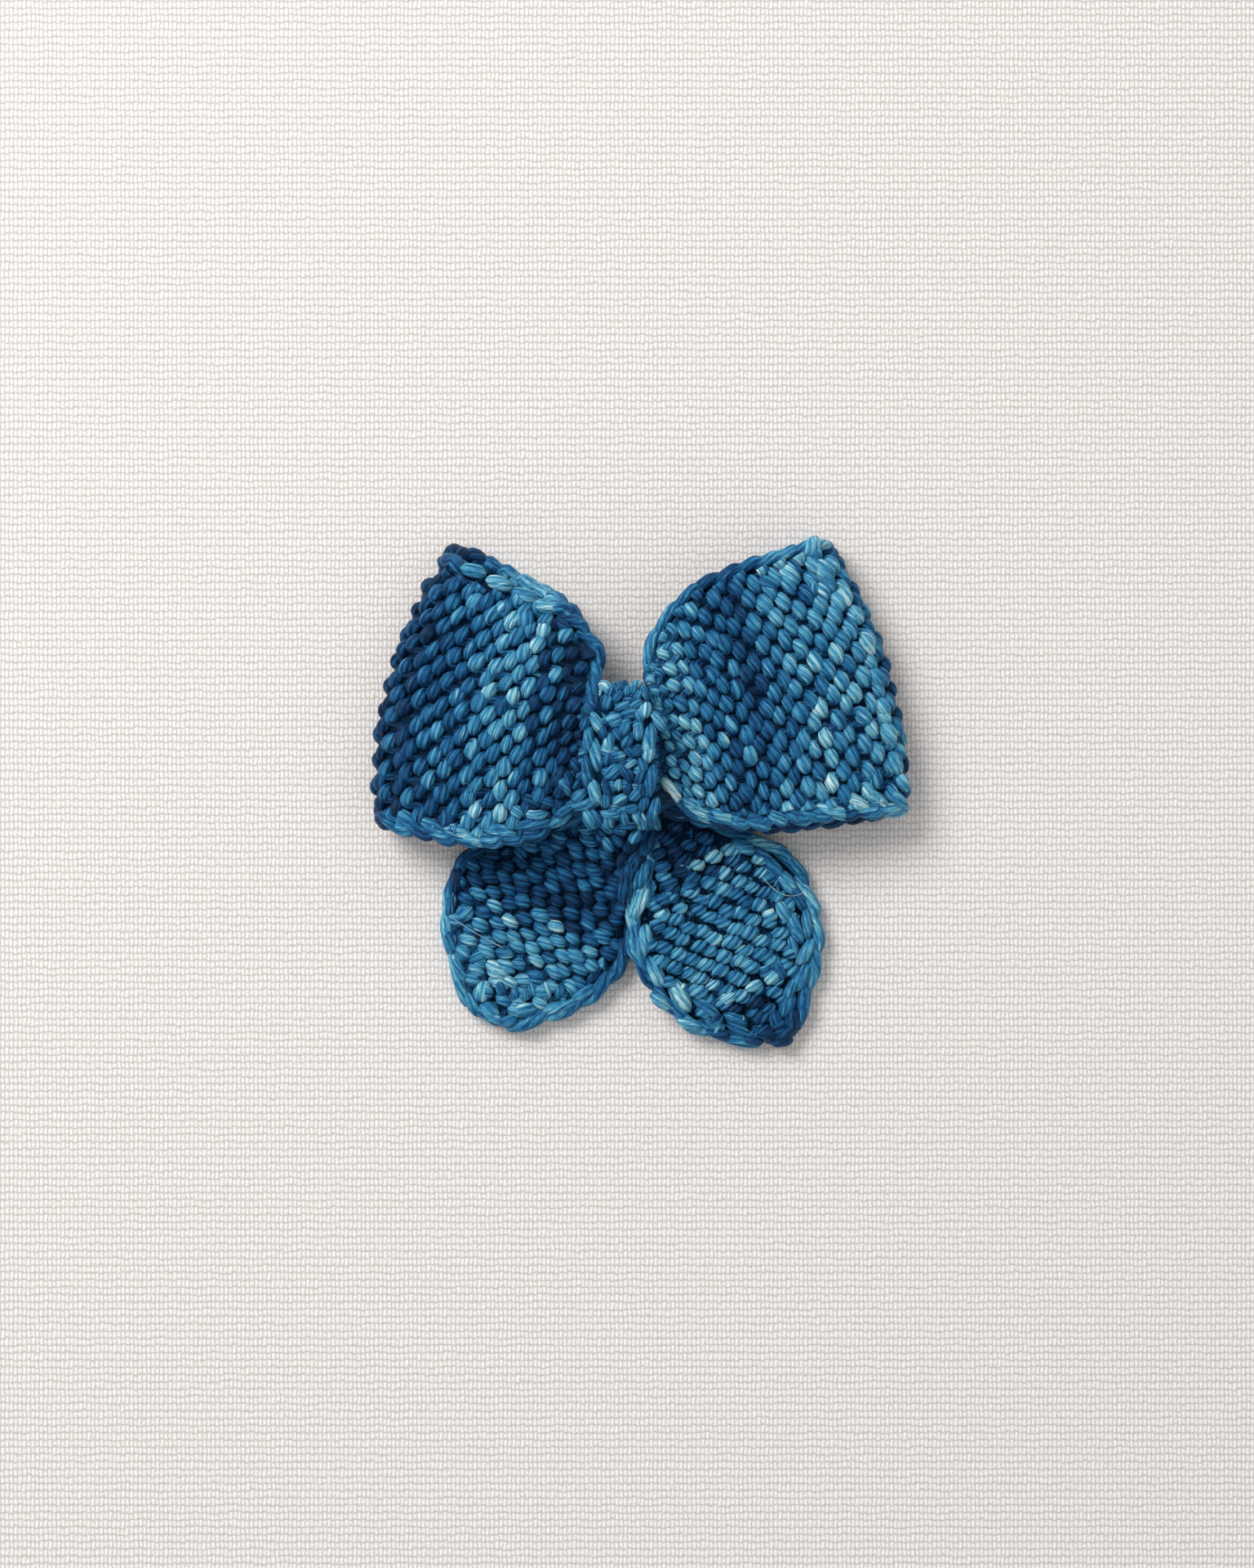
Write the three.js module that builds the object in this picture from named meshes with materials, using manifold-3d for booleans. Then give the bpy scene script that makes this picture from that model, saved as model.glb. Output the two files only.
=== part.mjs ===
// Hair bow lying on its back: a garter-stitch band pinched into two loops by a knitted knot,
// two leaf-shaped tails behind the knot, and a spring clip bound to the back with yarn.
// Millimetres, +Z up and towards the viewer, +Y towards the tops of the loops.
import * as THREE from "three";
import { mergeVertices } from "three/addons/utils/BufferGeometryUtils.js";
import Module from "manifold-3d";

const wasm = await Module();
wasm.setup();

// Fabric and clearances
const GAP = 0.3; // between pieces that touch
const FABRIC = 4.8; // thickness of the free garter-stitch fabric
const REST_CUT = 0.5; // how deep the soft underside is pressed flat
const THREAD = 0.8; // diameter of the binding and gathering yarn

// Garter stitch: rows of bumps, with the fabric pinched in between them
const ROW = 2.47; // from one row to the next in the loops
const LOOP_WALES = 10; // stitches across the loops
const TAIL_ROW = 2.25;
const TAIL_STITCH = 4.4; // along a row of the tails
const PINCH = 1.5; // how far the visible face is drawn in between the bumps
const ROW_ROOM = 2.5; // from the fabric's edge to the end of a row
const ROW_STEP = 0.2; // between the columns that a narrow row has no room for
const UNDER_KNOT = 1; // how far the loops' rows go on under the knot
const TAIL_ROWS_START = 10; // from the root of a tail to its first row
const TAIL_ROWS_STOP = 3; // from its last row to its end

// Loops: how far each reaches from the waist to its fold, to its upper corner and to its lower edge
const LEFT_REACH = 52.7;
const LEFT_RISE = 43.9;
const LEFT_DROP = 20.1;
const RIGHT_REACH = 61;
const RIGHT_RISE = 45.2;
const RIGHT_DROP = 17.3;

// Waist, gathering yarn and knot
const WAIST_HALF_SPAN = 10.4;
const WAIST_Y = -1.2;
const WAIST_LAYER = 2.3; // fabric pinched under the knot
const WAIST_EDGE_DROP = 0.4;
const WINDING_TURNS = 4;
const WINDING_PITCH = 1.3;
const WINDING_POWER = 0.32; // 1 gives a round winding, and less a squarer one
const KNOT_FRONT = 4;
const KNOT_BACK = 2.4;
const KNOT_SIDE = 3.3;
const KNOT_FRONT_HALF_WIDTH = 6.8;
const KNOT_SIDE_HALF_WIDTH = 4.6;
const KNOT_BACK_HALF_WIDTH = 5;
const KNOT_SWAY = 0.5;

// Tails: length from the waist to the tip, and the reach of each to its own side
const TAIL_PINCH = 2.6; // fabric pinched behind the knot
const LEFT_TAIL_DROP = 59.3;
const LEFT_TAIL_REACH = 37.7;
const RIGHT_TAIL_DROP = 62.4;
const RIGHT_TAIL_REACH = 41.5;
const TAIL_ROOT_RISE = 5.6;

// Spring clip
const CLIP_LENGTH = 40;
const CLIP_WIDTH = 8;
const CLIP_HEIGHT = 6.6;
const SHEET = 0.8;
const PIN_SHARE = 0.15; // of the clip's length, from its middle to the pin
const PIN_Z = 3.2;
const PIN_RADIUS = 0.8;
const PIN_HEAD_RADIUS = 1.4;
const PIN_HEAD = 0.6;
const PLATE_EAR_RADIUS = 1.8;
const PRONG_EAR_RADIUS = 1.6;
const TOOTH_HEIGHT = 0.5;
const TOOTH_COUNT = 6;
const TOOTH_PITCH = 1.3;
const SPRING_WIRE = 0.7;
const SPRING_TURNS = 2.5;
const SPRING_PITCH = 1.15;
const SPRING_LEG = 8;
const STITCH_COUNT = 4;
const STITCH_PITCH = 2.3;
const STITCH_START_X = -4.6;

// Heights of the stack at the waist, from the clip upwards
const TAIL_ROOT_Z = CLIP_HEIGHT + GAP + TAIL_PINCH / 2;
const KNOT_BOTTOM = CLIP_HEIGHT + GAP + TAIL_PINCH + GAP;
const WINDING_BOTTOM = KNOT_BOTTOM + KNOT_BACK + GAP;
const BAND_BOTTOM = WINDING_BOTTOM + THREAD + GAP;
const BAND_BACK_Z = BAND_BOTTOM + WAIST_LAYER / 2;
const WAIST_Z = BAND_BOTTOM + WAIST_LAYER + GAP;
const BAND_FRONT_Z = 2 * WAIST_Z - BAND_BACK_Z;
const SOFT_FLOOR_Z = FABRIC / 2 - REST_CUT;
const CLIP_SHOULDER_Z = CLIP_HEIGHT + FABRIC / 2 + 2 * GAP; // where the loops' backs leave the clip
const PIN_X = CLIP_LENGTH * PIN_SHARE;

// Materials
const knit = (color) => new THREE.MeshStandardMaterial({ color, roughness: 0.95, metalness: 0 });
const steel = (color, roughness) => new THREE.MeshStandardMaterial({ color, roughness, metalness: 1 });
const bow = new THREE.Group();

function addMesh(name, geometry, material) {
  const mesh = new THREE.Mesh(geometry, material);
  mesh.name = name;
  bow.add(mesh);
  return mesh;
}

// Splines through hand-chosen stations
// Each station is a row of numbers, and every column is blended alike.
function blendStations(stations, u, closed) {
  const count = stations.length;
  const last = closed ? count : count - 1;
  const at = Math.min(Math.floor(u), last - 1);
  const f = u - at;
  const pick = (i) => {
    if (closed) return stations[(i + count) % count];
    return stations[Math.min(Math.max(i, 0), count - 1)];
  };
  const [a, b, c, d] = [pick(at - 1), pick(at), pick(at + 1), pick(at + 2)];
  return b.map((_, k) => {
    const slope = (c[k] - a[k]) / 2;
    const next = (d[k] - b[k]) / 2;
    const rise = c[k] - b[k];
    return b[k] + f * (slope + f * (3 * rise - 2 * slope - next + f * (slope + next - 2 * rise)));
  });
}

// A course of knitting between two edges, crowned as a circular arc
// Columns: lower edge x y z, upper edge x y z, crown outwards and upwards, thickness.
function coursePoint(row, v) {
  const low = new THREE.Vector3(row[0], row[1], row[2]);
  const high = new THREE.Vector3(row[3], row[4], row[5]);
  const crown = new THREE.Vector3(row[6], 0, row[7]);
  const half = low.distanceTo(high) / 2;
  const across = high.clone().sub(low).normalize();
  const middle = low.add(high).multiplyScalar(1 / 2);
  const sweep = 2 * Math.atan(crown.length() / half) + 1e-6;
  const angle = (2 * v - 1) * sweep;
  const lift = (Math.cos(angle) - Math.cos(sweep)) / (1 - Math.cos(sweep));
  middle.addScaledVector(across, (half * Math.sin(angle)) / Math.sin(sweep));
  return middle.addScaledVector(crown, lift);
}

// Distances along the middle line of a strip, at even steps of its stations
const MEASURE_CUTS = 40;

function measure(stations, closed) {
  const spans = closed ? stations.length : stations.length - 1;
  const marks = [0];
  let before = coursePoint(blendStations(stations, 0, closed), 1 / 2);
  for (let i = 1; i <= spans * MEASURE_CUTS; i += 1) {
    const point = coursePoint(blendStations(stations, i / MEASURE_CUTS, closed), 1 / 2);
    marks.push(marks.at(-1) + point.distanceTo(before));
    before = point;
  }
  return marks;
}

function stationAt(marks, distance) {
  const next = marks.findIndex((mark) => mark > distance);
  if (next < 1) return distance > 0 ? (marks.length - 1) / MEASURE_CUTS : 0;
  return (next - 1 + (distance - marks[next - 1]) / (marks[next] - marks[next - 1])) / MEASURE_CUTS;
}

// Where the rows of bumps lie between two distances. In every other row they move half a stitch.
function garterRows(marks, first, last, row) {
  const count = Math.max(Math.round((last - first) / row), 2);
  return Array.from({ length: count }, (_, i) => {
    return { u: stationAt(marks, first + ((i + 1 / 2) * (last - first)) / count), shift: i % 2 };
  });
}

function plainRows(...stations) {
  return stations.map((u) => ({ u, shift: null }));
}

// A strip of fabric as a solid, from its two faces and its rounded selvages
const COLUMN_SHARES = [0, 0.03, 0.14, 0.3, 0.5, 0.7, 0.86, 0.97, 1];
const SELVAGE_SHARES = [0, 0.03, 0.14]; // across the strip, and its thickness there
const SELVAGE_THICK_SHARES = [0.45, 0.8, 1];

function thickShare(v) {
  const edge = Math.min(v, 1 - v);
  const next = SELVAGE_SHARES.findIndex((share) => share > edge);
  if (next < 0) return 1;
  const f = (edge - SELVAGE_SHARES[next - 1]) / (SELVAGE_SHARES[next] - SELVAGE_SHARES[next - 1]);
  return SELVAGE_THICK_SHARES[next - 1] * (1 - f) + SELVAGE_THICK_SHARES[next] * f;
}

// Half-stitches across a course of a width: a fixed count of them, or a fixed size about the middle
function loopColumns(width) {
  const inset = Math.min(ROW_ROOM / width, 0.3);
  const count = 2 * LOOP_WALES;
  const columns = Array.from({ length: count + 1 }, (_, j) => ({ v: inset + ((1 - 2 * inset) * j) / count, j }));
  return withSelvages(columns, inset);
}

function tailColumns(width, most) {
  const reach = Math.max(width / 2 - ROW_ROOM, 0.2 * width);
  const step = Math.min(ROW_STEP, reach / (2 * most));
  const columns = Array.from({ length: 2 * most + 1 }, (_, i) => {
    const j = i - most;
    const room = reach - (most - Math.abs(j)) * step;
    const off = Math.min((Math.abs(j) * TAIL_STITCH) / 2, room);
    return { v: 1 / 2 + (Math.sign(j) * off) / width, j: off < room ? j : null };
  });
  return withSelvages(columns, 1 / 2 - reach / width);
}

function withSelvages(columns, inset) {
  const edge = 0.4 * inset;
  return [{ v: 0, j: null }, { v: edge, j: null }, ...columns, { v: 1 - edge, j: null }, { v: 1, j: null }];
}

function courseWidth(row) {
  const cuts = 40;
  const points = Array.from({ length: cuts + 1 }, (_, i) => coursePoint(row, i / cuts));
  return points.slice(1).reduce((sum, p, i) => sum + p.distanceTo(points[i]), 0);
}

function stripRing(stations, closed, { u, shift }, columnsAt) {
  const step = 0.01;
  const last = stations.length - 1;
  const before = closed ? (u - step + stations.length) % stations.length : Math.max(u - step, 0);
  const after = closed ? (u + step) % stations.length : Math.min(u + step, last);
  const row = blendStations(stations, u, closed);
  const back = blendStations(stations, before, closed);
  const ahead = blendStations(stations, after, closed);
  const depth = (PINCH * Math.max(row[8] - WAIST_LAYER, 0)) / (FABRIC - WAIST_LAYER);
  const face = (v, side, pinched) => {
    const along = coursePoint(ahead, v).sub(coursePoint(back, v));
    const across = coursePoint(row, Math.min(v + step, 1)).sub(coursePoint(row, Math.max(v - step, 0)));
    const normal = along.cross(across).normalize();
    const pinch = pinched ? depth * THREE.MathUtils.clamp(1 + 3 * normal.z, 0, 1) : 0;
    const point = coursePoint(row, v);
    point.addScaledVector(normal, side * ((row[8] * thickShare(v)) / 2 - pinch));
    return Object.assign(point, { pinched });
  };
  const outer = columnsAt(courseWidth(row)).map(({ v, j }) => {
    return face(v, 1, j !== null && shift !== null && Math.abs(j + shift) % 2 === 1);
  });
  const inner = COLUMN_SHARES.map((v) => face(v, -1, false)).reverse();
  return [...outer, ...inner];
}

// A closed skin over rings of points: joined end to end, or capped
// Pinched points are joined to each other, so that every bump stands alone between them.
function skin(rings, closed) {
  const size = rings[0].length;
  const points = rings.flat();
  const faces = [];
  const spans = closed ? rings.length : rings.length - 1;
  for (let i = 0; i < spans; i += 1) {
    const j = (i + 1) % rings.length;
    for (let k = 0; k < size; k += 1) {
      const m = (k + 1) % size;
      const [a, b, c, d] = [i * size + k, j * size + k, j * size + m, i * size + m];
      if (points[b].pinched || points[d].pinched) faces.push(a, b, d, b, c, d);
      else faces.push(a, b, c, a, c, d);
    }
  }
  if (!closed) {
    capRing(points, faces, rings[0], 0, false);
    capRing(points, faces, rings.at(-1), (rings.length - 1) * size, true);
  }
  const geometry = new THREE.BufferGeometry();
  const flat = points.flatMap((p) => [p.x, p.y, Math.max(p.z, 0)]);
  geometry.setAttribute("position", new THREE.Float32BufferAttribute(flat, 3));
  geometry.setIndex(faces);
  geometry.computeVertexNormals();
  return geometry;
}

function capRing(points, faces, ring, first, atEnd) {
  const centre = new THREE.Vector3();
  ring.forEach((p) => centre.addScaledVector(p, 1 / ring.length));
  points.push(centre);
  const hub = points.length - 1;
  for (let k = 0; k < ring.length; k += 1) {
    const m = (k + 1) % ring.length;
    if (atEnd) faces.push(first + k, hub, first + m);
    else faces.push(first + k, first + m, hub);
  }
}

function strip(stations, closed, rows, columnsAt) {
  const rings = rows.map((row) => stripRing(stations, closed, row, columnsAt));
  return skin(rings, closed);
}

// Loops
// Shares of a loop's reach, drop, rise and the waist's height. Columns: lower edge's reach, drop
// and height, upper edge's reach, rise and height, crown outwards and upwards, fabric thickness.
const LEFT_FRONT_SHARES = [
  [0.235, 0.69, 0.79, 0.108, 0.457, 0.76, 0, 0.3, 0.85],
  [0.365, 0.91, 0.78, 0.212, 0.636, 0.74, 0.02, 0.26, 1],
  [0.526, 0.985, 0.76, 0.352, 0.748, 0.7, 0.04, 0.2, 1],
  [0.703, 0.945, 0.7, 0.494, 0.814, 0.66, 0.06, 0.14, 1],
  [0.848, 0.86, 0.61, 0.603, 0.868, 0.58, 0.08, 0.09, 1],
  [0.919, 0.79, 0.48, 0.648, 0.891, 0.46, 0.095, 0.04, 1],
];
const LEFT_FOLD_SHARES = [
  [0.945, 0.745, 0.3, 0.671, 0.934, 0.28, 0.103, 0, 1],
  [0.906, 0.775, 0.1, 0.629, 0.975, 0.09, 0.1, 0, 1],
];
const LEFT_BACK_SHARES = [
  [0.8, 0.86, 0, 0.526, 0.953, 0, 0.085, 0, 1],
  [0.639, 0.94, 0.24, 0.38, 0.86, 0.14, 0.06, 0, 1],
];
const RIGHT_FRONT_SHARES = [
  [0.192, 0.66, 0.79, 0.089, 0.387, 0.76, 0, 0.3, 0.85],
  [0.276, 0.8, 0.78, 0.117, 0.564, 0.74, 0.01, 0.28, 1],
  [0.396, 0.9, 0.77, 0.22, 0.74, 0.72, 0.02, 0.22, 1],
  [0.543, 0.88, 0.75, 0.368, 0.842, 0.7, 0.035, 0.17, 1],
  [0.702, 0.83, 0.7, 0.515, 0.914, 0.66, 0.05, 0.12, 1],
  [0.835, 0.8, 0.61, 0.61, 0.955, 0.58, 0.065, 0.08, 1],
  [0.912, 0.77, 0.48, 0.66, 0.96, 0.46, 0.078, 0.04, 1],
];
const RIGHT_FOLD_SHARES = [
  [0.945, 0.75, 0.3, 0.682, 0.95, 0.28, 0.08, 0, 1],
  [0.912, 0.79, 0.1, 0.652, 0.97, 0.09, 0.078, 0, 1],
];
const RIGHT_BACK_SHARES = [
  [0.8, 0.86, 0, 0.549, 0.94, 0, 0.06, 0, 1],
  [0.618, 0.94, 0.24, 0.396, 0.85, 0.14, 0.04, 0, 1],
];

// Where the backs of the loops lie over the clip. Their reach is in shares of half its length.
const LEFT_SHOULDER_SHARES = [
  [1.25, 0.93, 0, 0.66, 0.76, 0, 0.08, 0, 1],
  [0.83, 0.8, 0.14, 0.42, 0.6, 0.14, 0, 0, 0.85],
];
const RIGHT_SHOULDER_SHARES = [
  [1.29, 0.96, 0, 0.7, 0.726, 0, 0.06, 0, 1],
  [0.78, 0.88, 0.17, 0.43, 0.52, 0.14, 0, 0, 0.85],
];

function loopStations(shares, side, reach, rise, drop, floor) {
  const rest = WAIST_Z - floor;
  return shares.map((row) => [
    side * reach * row[0],
    -drop * row[1],
    floor + rest * row[2],
    side * reach * row[3],
    rise * row[4],
    floor + rest * row[5],
    side * reach * row[6],
    rest * row[7],
    FABRIC * row[8],
  ]);
}

// The band leaves the knot still pinched, a little past the knot's edge
function waistStation(x, z, outwards) {
  const edge = z - outwards * WAIST_EDGE_DROP;
  const low = [x, WAIST_Y - WAIST_HALF_SPAN, edge];
  const high = [x, WAIST_Y + WAIST_HALF_SPAN, edge];
  return [...low, ...high, 0, outwards * WAIST_EDGE_DROP, WAIST_LAYER];
}

function loopBand() {
  const left = (shares, reach, floor) => loopStations(shares, -1, reach, LEFT_RISE, LEFT_DROP, floor);
  const right = (shares, reach, floor) => loopStations(shares, 1, reach, RIGHT_RISE, RIGHT_DROP, floor);
  const leftShares = [...LEFT_FRONT_SHARES, ...LEFT_FOLD_SHARES, ...LEFT_BACK_SHARES];
  const rightShares = [...RIGHT_FRONT_SHARES, ...RIGHT_FOLD_SHARES, ...RIGHT_BACK_SHARES];
  const leftWay = [
    ...left(leftShares, LEFT_REACH, SOFT_FLOOR_Z),
    ...left(LEFT_SHOULDER_SHARES, CLIP_LENGTH / 2, CLIP_SHOULDER_Z),
  ];
  const rightWay = [
    ...right(rightShares, RIGHT_REACH, SOFT_FLOOR_Z),
    ...right(RIGHT_SHOULDER_SHARES, CLIP_LENGTH / 2, CLIP_SHOULDER_Z),
  ];
  const frontExit = KNOT_FRONT_HALF_WIDTH - GAP;
  const backExit = KNOT_BACK_HALF_WIDTH + GAP;
  const front = [-frontExit, 0, frontExit].map((x) => waistStation(x, BAND_FRONT_Z, 1));
  const back = [backExit, 0, -backExit].map((x) => waistStation(x, BAND_BACK_Z, -1));
  const stations = [...front, ...rightWay, ...back, ...leftWay.reverse()];
  // The stations where the loops leave the waist, and the middles of their folds
  const frontRight = front.length - 1;
  const backRight = front.length + rightWay.length;
  const backLeft = backRight + back.length - 1;
  const rightFold = front.length + RIGHT_FRONT_SHARES.length + 1 / 2;
  const leftFold = stations.length - LEFT_FRONT_SHARES.length - 3 / 2;
  const marks = measure(stations, true);
  const mark = (u) => marks[Math.round(u * MEASURE_CUTS)];
  const rows = [
    ...garterRows(marks, mark(frontRight) - UNDER_KNOT, mark(rightFold), ROW),
    ...garterRows(marks, mark(rightFold), mark(backRight) + UNDER_KNOT, ROW),
    ...garterRows(marks, mark(backLeft) - UNDER_KNOT, mark(leftFold), ROW),
    ...garterRows(marks, mark(leftFold), marks.at(-1) + UNDER_KNOT, ROW),
  ];
  const [half, all] = [1 / 2, stations.length];
  const free = rows.filter(({ u }) => {
    return (u > frontRight + half && u < backRight - half) || (u > backLeft + half && u < all - half);
  });
  const waist = plainRows(0, half, 1, 3 * half, 2, 2 + half, all - half);
  const under = [-half, 0, half, 1, 3 * half, 2, 2 + half].map((d) => ({ u: backRight + d, shift: null }));
  const sorted = [...waist, ...under, ...free].sort((a, b) => a.u - b.u);
  return strip(stations, true, sorted, loopColumns);
}

// Tails
// Shares of a tail's reach, its drop and the height of its root. Columns: left edge's reach, drop
// and height, right edge's reach, drop and height, crown upwards, fabric thickness.
const LEFT_TAIL_SHARES = [
  [0.149, -0.02, 1, 0.01, -0.02, 1, 0, 0.542],
  [0.158, 0.063, 1, 0.01, 0.09, 1, 0, 0.542],
  [0.194, 0.192, 0.95, 0, 0.25, 0.9, 0, 0.65],
  [0.329, 0.25, 0.6, -0.07, 0.4, 0.5, 0.04, 0.88],
  [0.532, 0.287, 0.26, -0.08, 0.545, 0.2, 0.08, 1],
  [0.734, 0.327, 0.08, -0.04, 0.708, 0.04, 0.12, 1],
  [0.905, 0.384, 0, 0.027, 0.794, 0, 0.15, 1],
  [0.977, 0.493, 0, 0.149, 0.871, 0, 0.15, 1],
  [1, 0.607, 0, 0.297, 0.923, 0, 0.12, 1],
  [0.968, 0.736, 0, 0.441, 0.954, 0, 0.08, 1],
  [0.914, 0.851, 0, 0.568, 0.98, 0, 0.04, 0.95],
  [0.847, 0.943, 0, 0.68, 1, 0, 0, 0.85],
];
const RIGHT_TAIL_SHARES = [
  [0.01, -0.02, 1, 0.143, -0.02, 1, 0, 0.542],
  [0.01, 0.06, 1, 0.143, 0.06, 1, 0, 0.542],
  [0.131, 0.223, 0.92, 0.274, 0.155, 0.82, 0, 0.6],
  [0.123, 0.373, 0.98, 0.52, 0.256, 0.5, 0.04, 0.88],
  [0.061, 0.482, 0.92, 0.705, 0.305, 0.2, 0.08, 1],
  [0.033, 0.591, 0.84, 0.848, 0.36, 0.04, 0.12, 1],
  [0.049, 0.687, 0.78, 0.922, 0.436, 0, 0.15, 1],
  [0.111, 0.768, 0.68, 0.967, 0.523, 0, 0.16, 1],
  [0.201, 0.85, 0.42, 1, 0.632, 0, 0.15, 1],
  [0.328, 0.929, 0.14, 0.975, 0.741, 0, 0.12, 1],
  [0.48, 0.965, 0, 0.939, 0.828, 0, 0.08, 1],
  [0.623, 0.986, 0, 0.902, 0.905, 0, 0.04, 0.95],
  [0.746, 1, 0, 0.881, 0.965, 0, 0, 0.85],
];

function tailStations(shares, side, reach, drop) {
  const rest = TAIL_ROOT_Z - SOFT_FLOOR_Z;
  const place = (dropShare) => (dropShare < 0 ? TAIL_ROOT_RISE : -drop * dropShare);
  return shares.map((row) => [
    side * reach * row[0],
    place(row[1]),
    SOFT_FLOOR_Z + rest * row[2],
    side * reach * row[3],
    place(row[4]),
    SOFT_FLOOR_Z + rest * row[5],
    0,
    rest * row[6],
    FABRIC * row[7],
  ]);
}

function tail(stations) {
  const marks = measure(stations, false);
  const widest = Math.max(...stations.map(courseWidth));
  const most = Math.floor(((widest / 2 - ROW_ROOM) * 2) / TAIL_STITCH);
  const rows = garterRows(marks, TAIL_ROWS_START, marks.at(-1) - TAIL_ROWS_STOP, TAIL_ROW);
  const root = [0, 1 / 4, 1 / 2, 3 / 4].map((share) => {
    return { u: stationAt(marks, TAIL_ROWS_START * share), shift: null };
  });
  const all = [...root, ...rows, { u: stations.length - 1, shift: null }];
  return strip(stations, false, all, (width) => tailColumns(width, most));
}

// Winding and wires
// A tube along a list of points, one unbroken solid.
function tube(points, diameter, sides, steps) {
  const path = new THREE.CatmullRomCurve3(points);
  const shape = new THREE.Shape();
  for (let k = 0; k < sides; k += 1) {
    const angle = (2 * Math.PI * k) / sides;
    const x = (Math.cos(angle) * diameter) / 2;
    const y = (Math.sin(angle) * diameter) / 2;
    if (k === 0) shape.moveTo(x, y);
    else shape.lineTo(x, y);
  }
  shape.closePath();
  return new THREE.ExtrudeGeometry(shape, { extrudePath: path, steps, bevelEnabled: false });
}

function bend(value, power) {
  return Math.sign(value) * Math.abs(value) ** power;
}

// The least gap between turns, from points a turn apart or more
function leastGap(points, perTurn, diameter) {
  let least = Infinity;
  points.forEach((p, i) => {
    for (let j = i + Math.floor(perTurn / 2); j < points.length; j += 1) {
      least = Math.min(least, p.distanceTo(points[j]));
    }
  });
  return least - diameter;
}

const WINDING_HALF_Y = WAIST_HALF_SPAN + GAP + THREAD / 2;
const WINDING_HALF_Z = WAIST_Z - WINDING_BOTTOM - THREAD / 2;
const WINDING_STEPS = 24; // in each turn

function windingPoints() {
  const count = WINDING_TURNS * WINDING_STEPS;
  return Array.from({ length: count + 1 }, (_, i) => {
    const angle = (2 * Math.PI * i) / WINDING_STEPS;
    const x = WINDING_PITCH * (i / WINDING_STEPS - WINDING_TURNS / 2);
    const y = WAIST_Y + WINDING_HALF_Y * bend(Math.cos(angle), WINDING_POWER);
    const z = WAIST_Z + WINDING_HALF_Z * bend(Math.sin(angle), WINDING_POWER);
    return new THREE.Vector3(x, y, z);
  });
}

// Knot
// A knitted band round the waist. It is wide and thick in front, and narrow where it turns.
function knotBand() {
  const steps = 36;
  const innerY = WINDING_HALF_Y + THREAD / 2 + GAP;
  const innerZ = WINDING_HALF_Z + THREAD / 2 + GAP;
  const shares = [0, 0.06, 0.3, 0.5, 0.7, 0.94, 1];
  const thickShares = [0.45, 0.85, 1, 1, 1, 0.85, 0.45];
  const rings = Array.from({ length: steps }, (_, i) => {
    const angle = Math.PI / 2 + (2 * Math.PI * i) / steps;
    const front = Math.max(Math.sin(angle), 0) ** 2;
    const back = Math.max(-Math.sin(angle), 0) ** 2;
    const side = 1 - front - back;
    const half =
      KNOT_FRONT_HALF_WIDTH * front + KNOT_SIDE_HALF_WIDTH * side + KNOT_BACK_HALF_WIDTH * back;
    const wall = Math.sin(angle) > 0 ? KNOT_FRONT : KNOT_BACK;
    const inY = innerY * bend(Math.cos(angle), WINDING_POWER);
    const inZ = innerZ * bend(Math.sin(angle), WINDING_POWER);
    const outY = (innerY + KNOT_SIDE) * bend(Math.cos(angle), 3 / 4);
    const outZ = (innerZ + wall) * bend(Math.sin(angle), 3 / 4);
    const middle = -KNOT_SWAY * Math.cos(angle);
    const point = (share, t) => {
      const x = middle + half * (2 * share - 1);
      return new THREE.Vector3(x, WAIST_Y + inY + (outY - inY) * t, WAIST_Z + inZ + (outZ - inZ) * t);
    };
    const outer = shares.map((share, k) => point(share, 1 / 2 + thickShares[k] / 2));
    const inner = shares.map((share, k) => point(share, 1 / 2 - thickShares[k] / 2));
    return [...outer, ...inner.reverse()];
  });
  return skin(rings, true);
}

// Solids that are joined and cut
function toSolid(geometry) {
  const plain = geometry.clone();
  plain.deleteAttribute("normal");
  plain.deleteAttribute("uv");
  const merged = mergeVertices(plain, 1e-5);
  const vertProperties = new Float32Array(merged.attributes.position.array);
  const triVerts = new Uint32Array(merged.index.array);
  return new wasm.Manifold(new wasm.Mesh({ numProp: 3, vertProperties, triVerts }));
}

function toGeometry(solid) {
  const mesh = solid.getMesh();
  const geometry = new THREE.BufferGeometry();
  geometry.setAttribute("position", new THREE.BufferAttribute(mesh.vertProperties, 3));
  geometry.setIndex(new THREE.BufferAttribute(mesh.triVerts, 1));
  geometry.computeVertexNormals();
  return geometry;
}

// A flat outline in X and Z, given a thickness across Y and centred on y
function slab(shape, thickness, y) {
  const geometry = new THREE.ExtrudeGeometry(shape, {
    depth: thickness,
    bevelEnabled: false,
    curveSegments: 10,
  });
  geometry.translate(0, 0, -thickness / 2);
  geometry.rotateX(Math.PI / 2);
  geometry.translate(0, y, 0);
  return geometry;
}

// An ear that hangs from a sheet at height z and holds the pin
function earShape(radius, z) {
  const shape = new THREE.Shape();
  const turn = z > PIN_Z ? 1 : -1;
  shape.moveTo(PIN_X - turn * radius, z);
  shape.lineTo(PIN_X - turn * radius, PIN_Z);
  shape.absarc(PIN_X, PIN_Z, radius, z > PIN_Z ? Math.PI : 0, z > PIN_Z ? 2 * Math.PI : Math.PI, false);
  shape.lineTo(PIN_X + turn * radius, z);
  shape.closePath();
  const hole = new THREE.Path();
  hole.absarc(PIN_X, PIN_Z, PIN_RADIUS + GAP, 0, 2 * Math.PI, true);
  shape.holes.push(hole);
  return shape;
}

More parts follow.
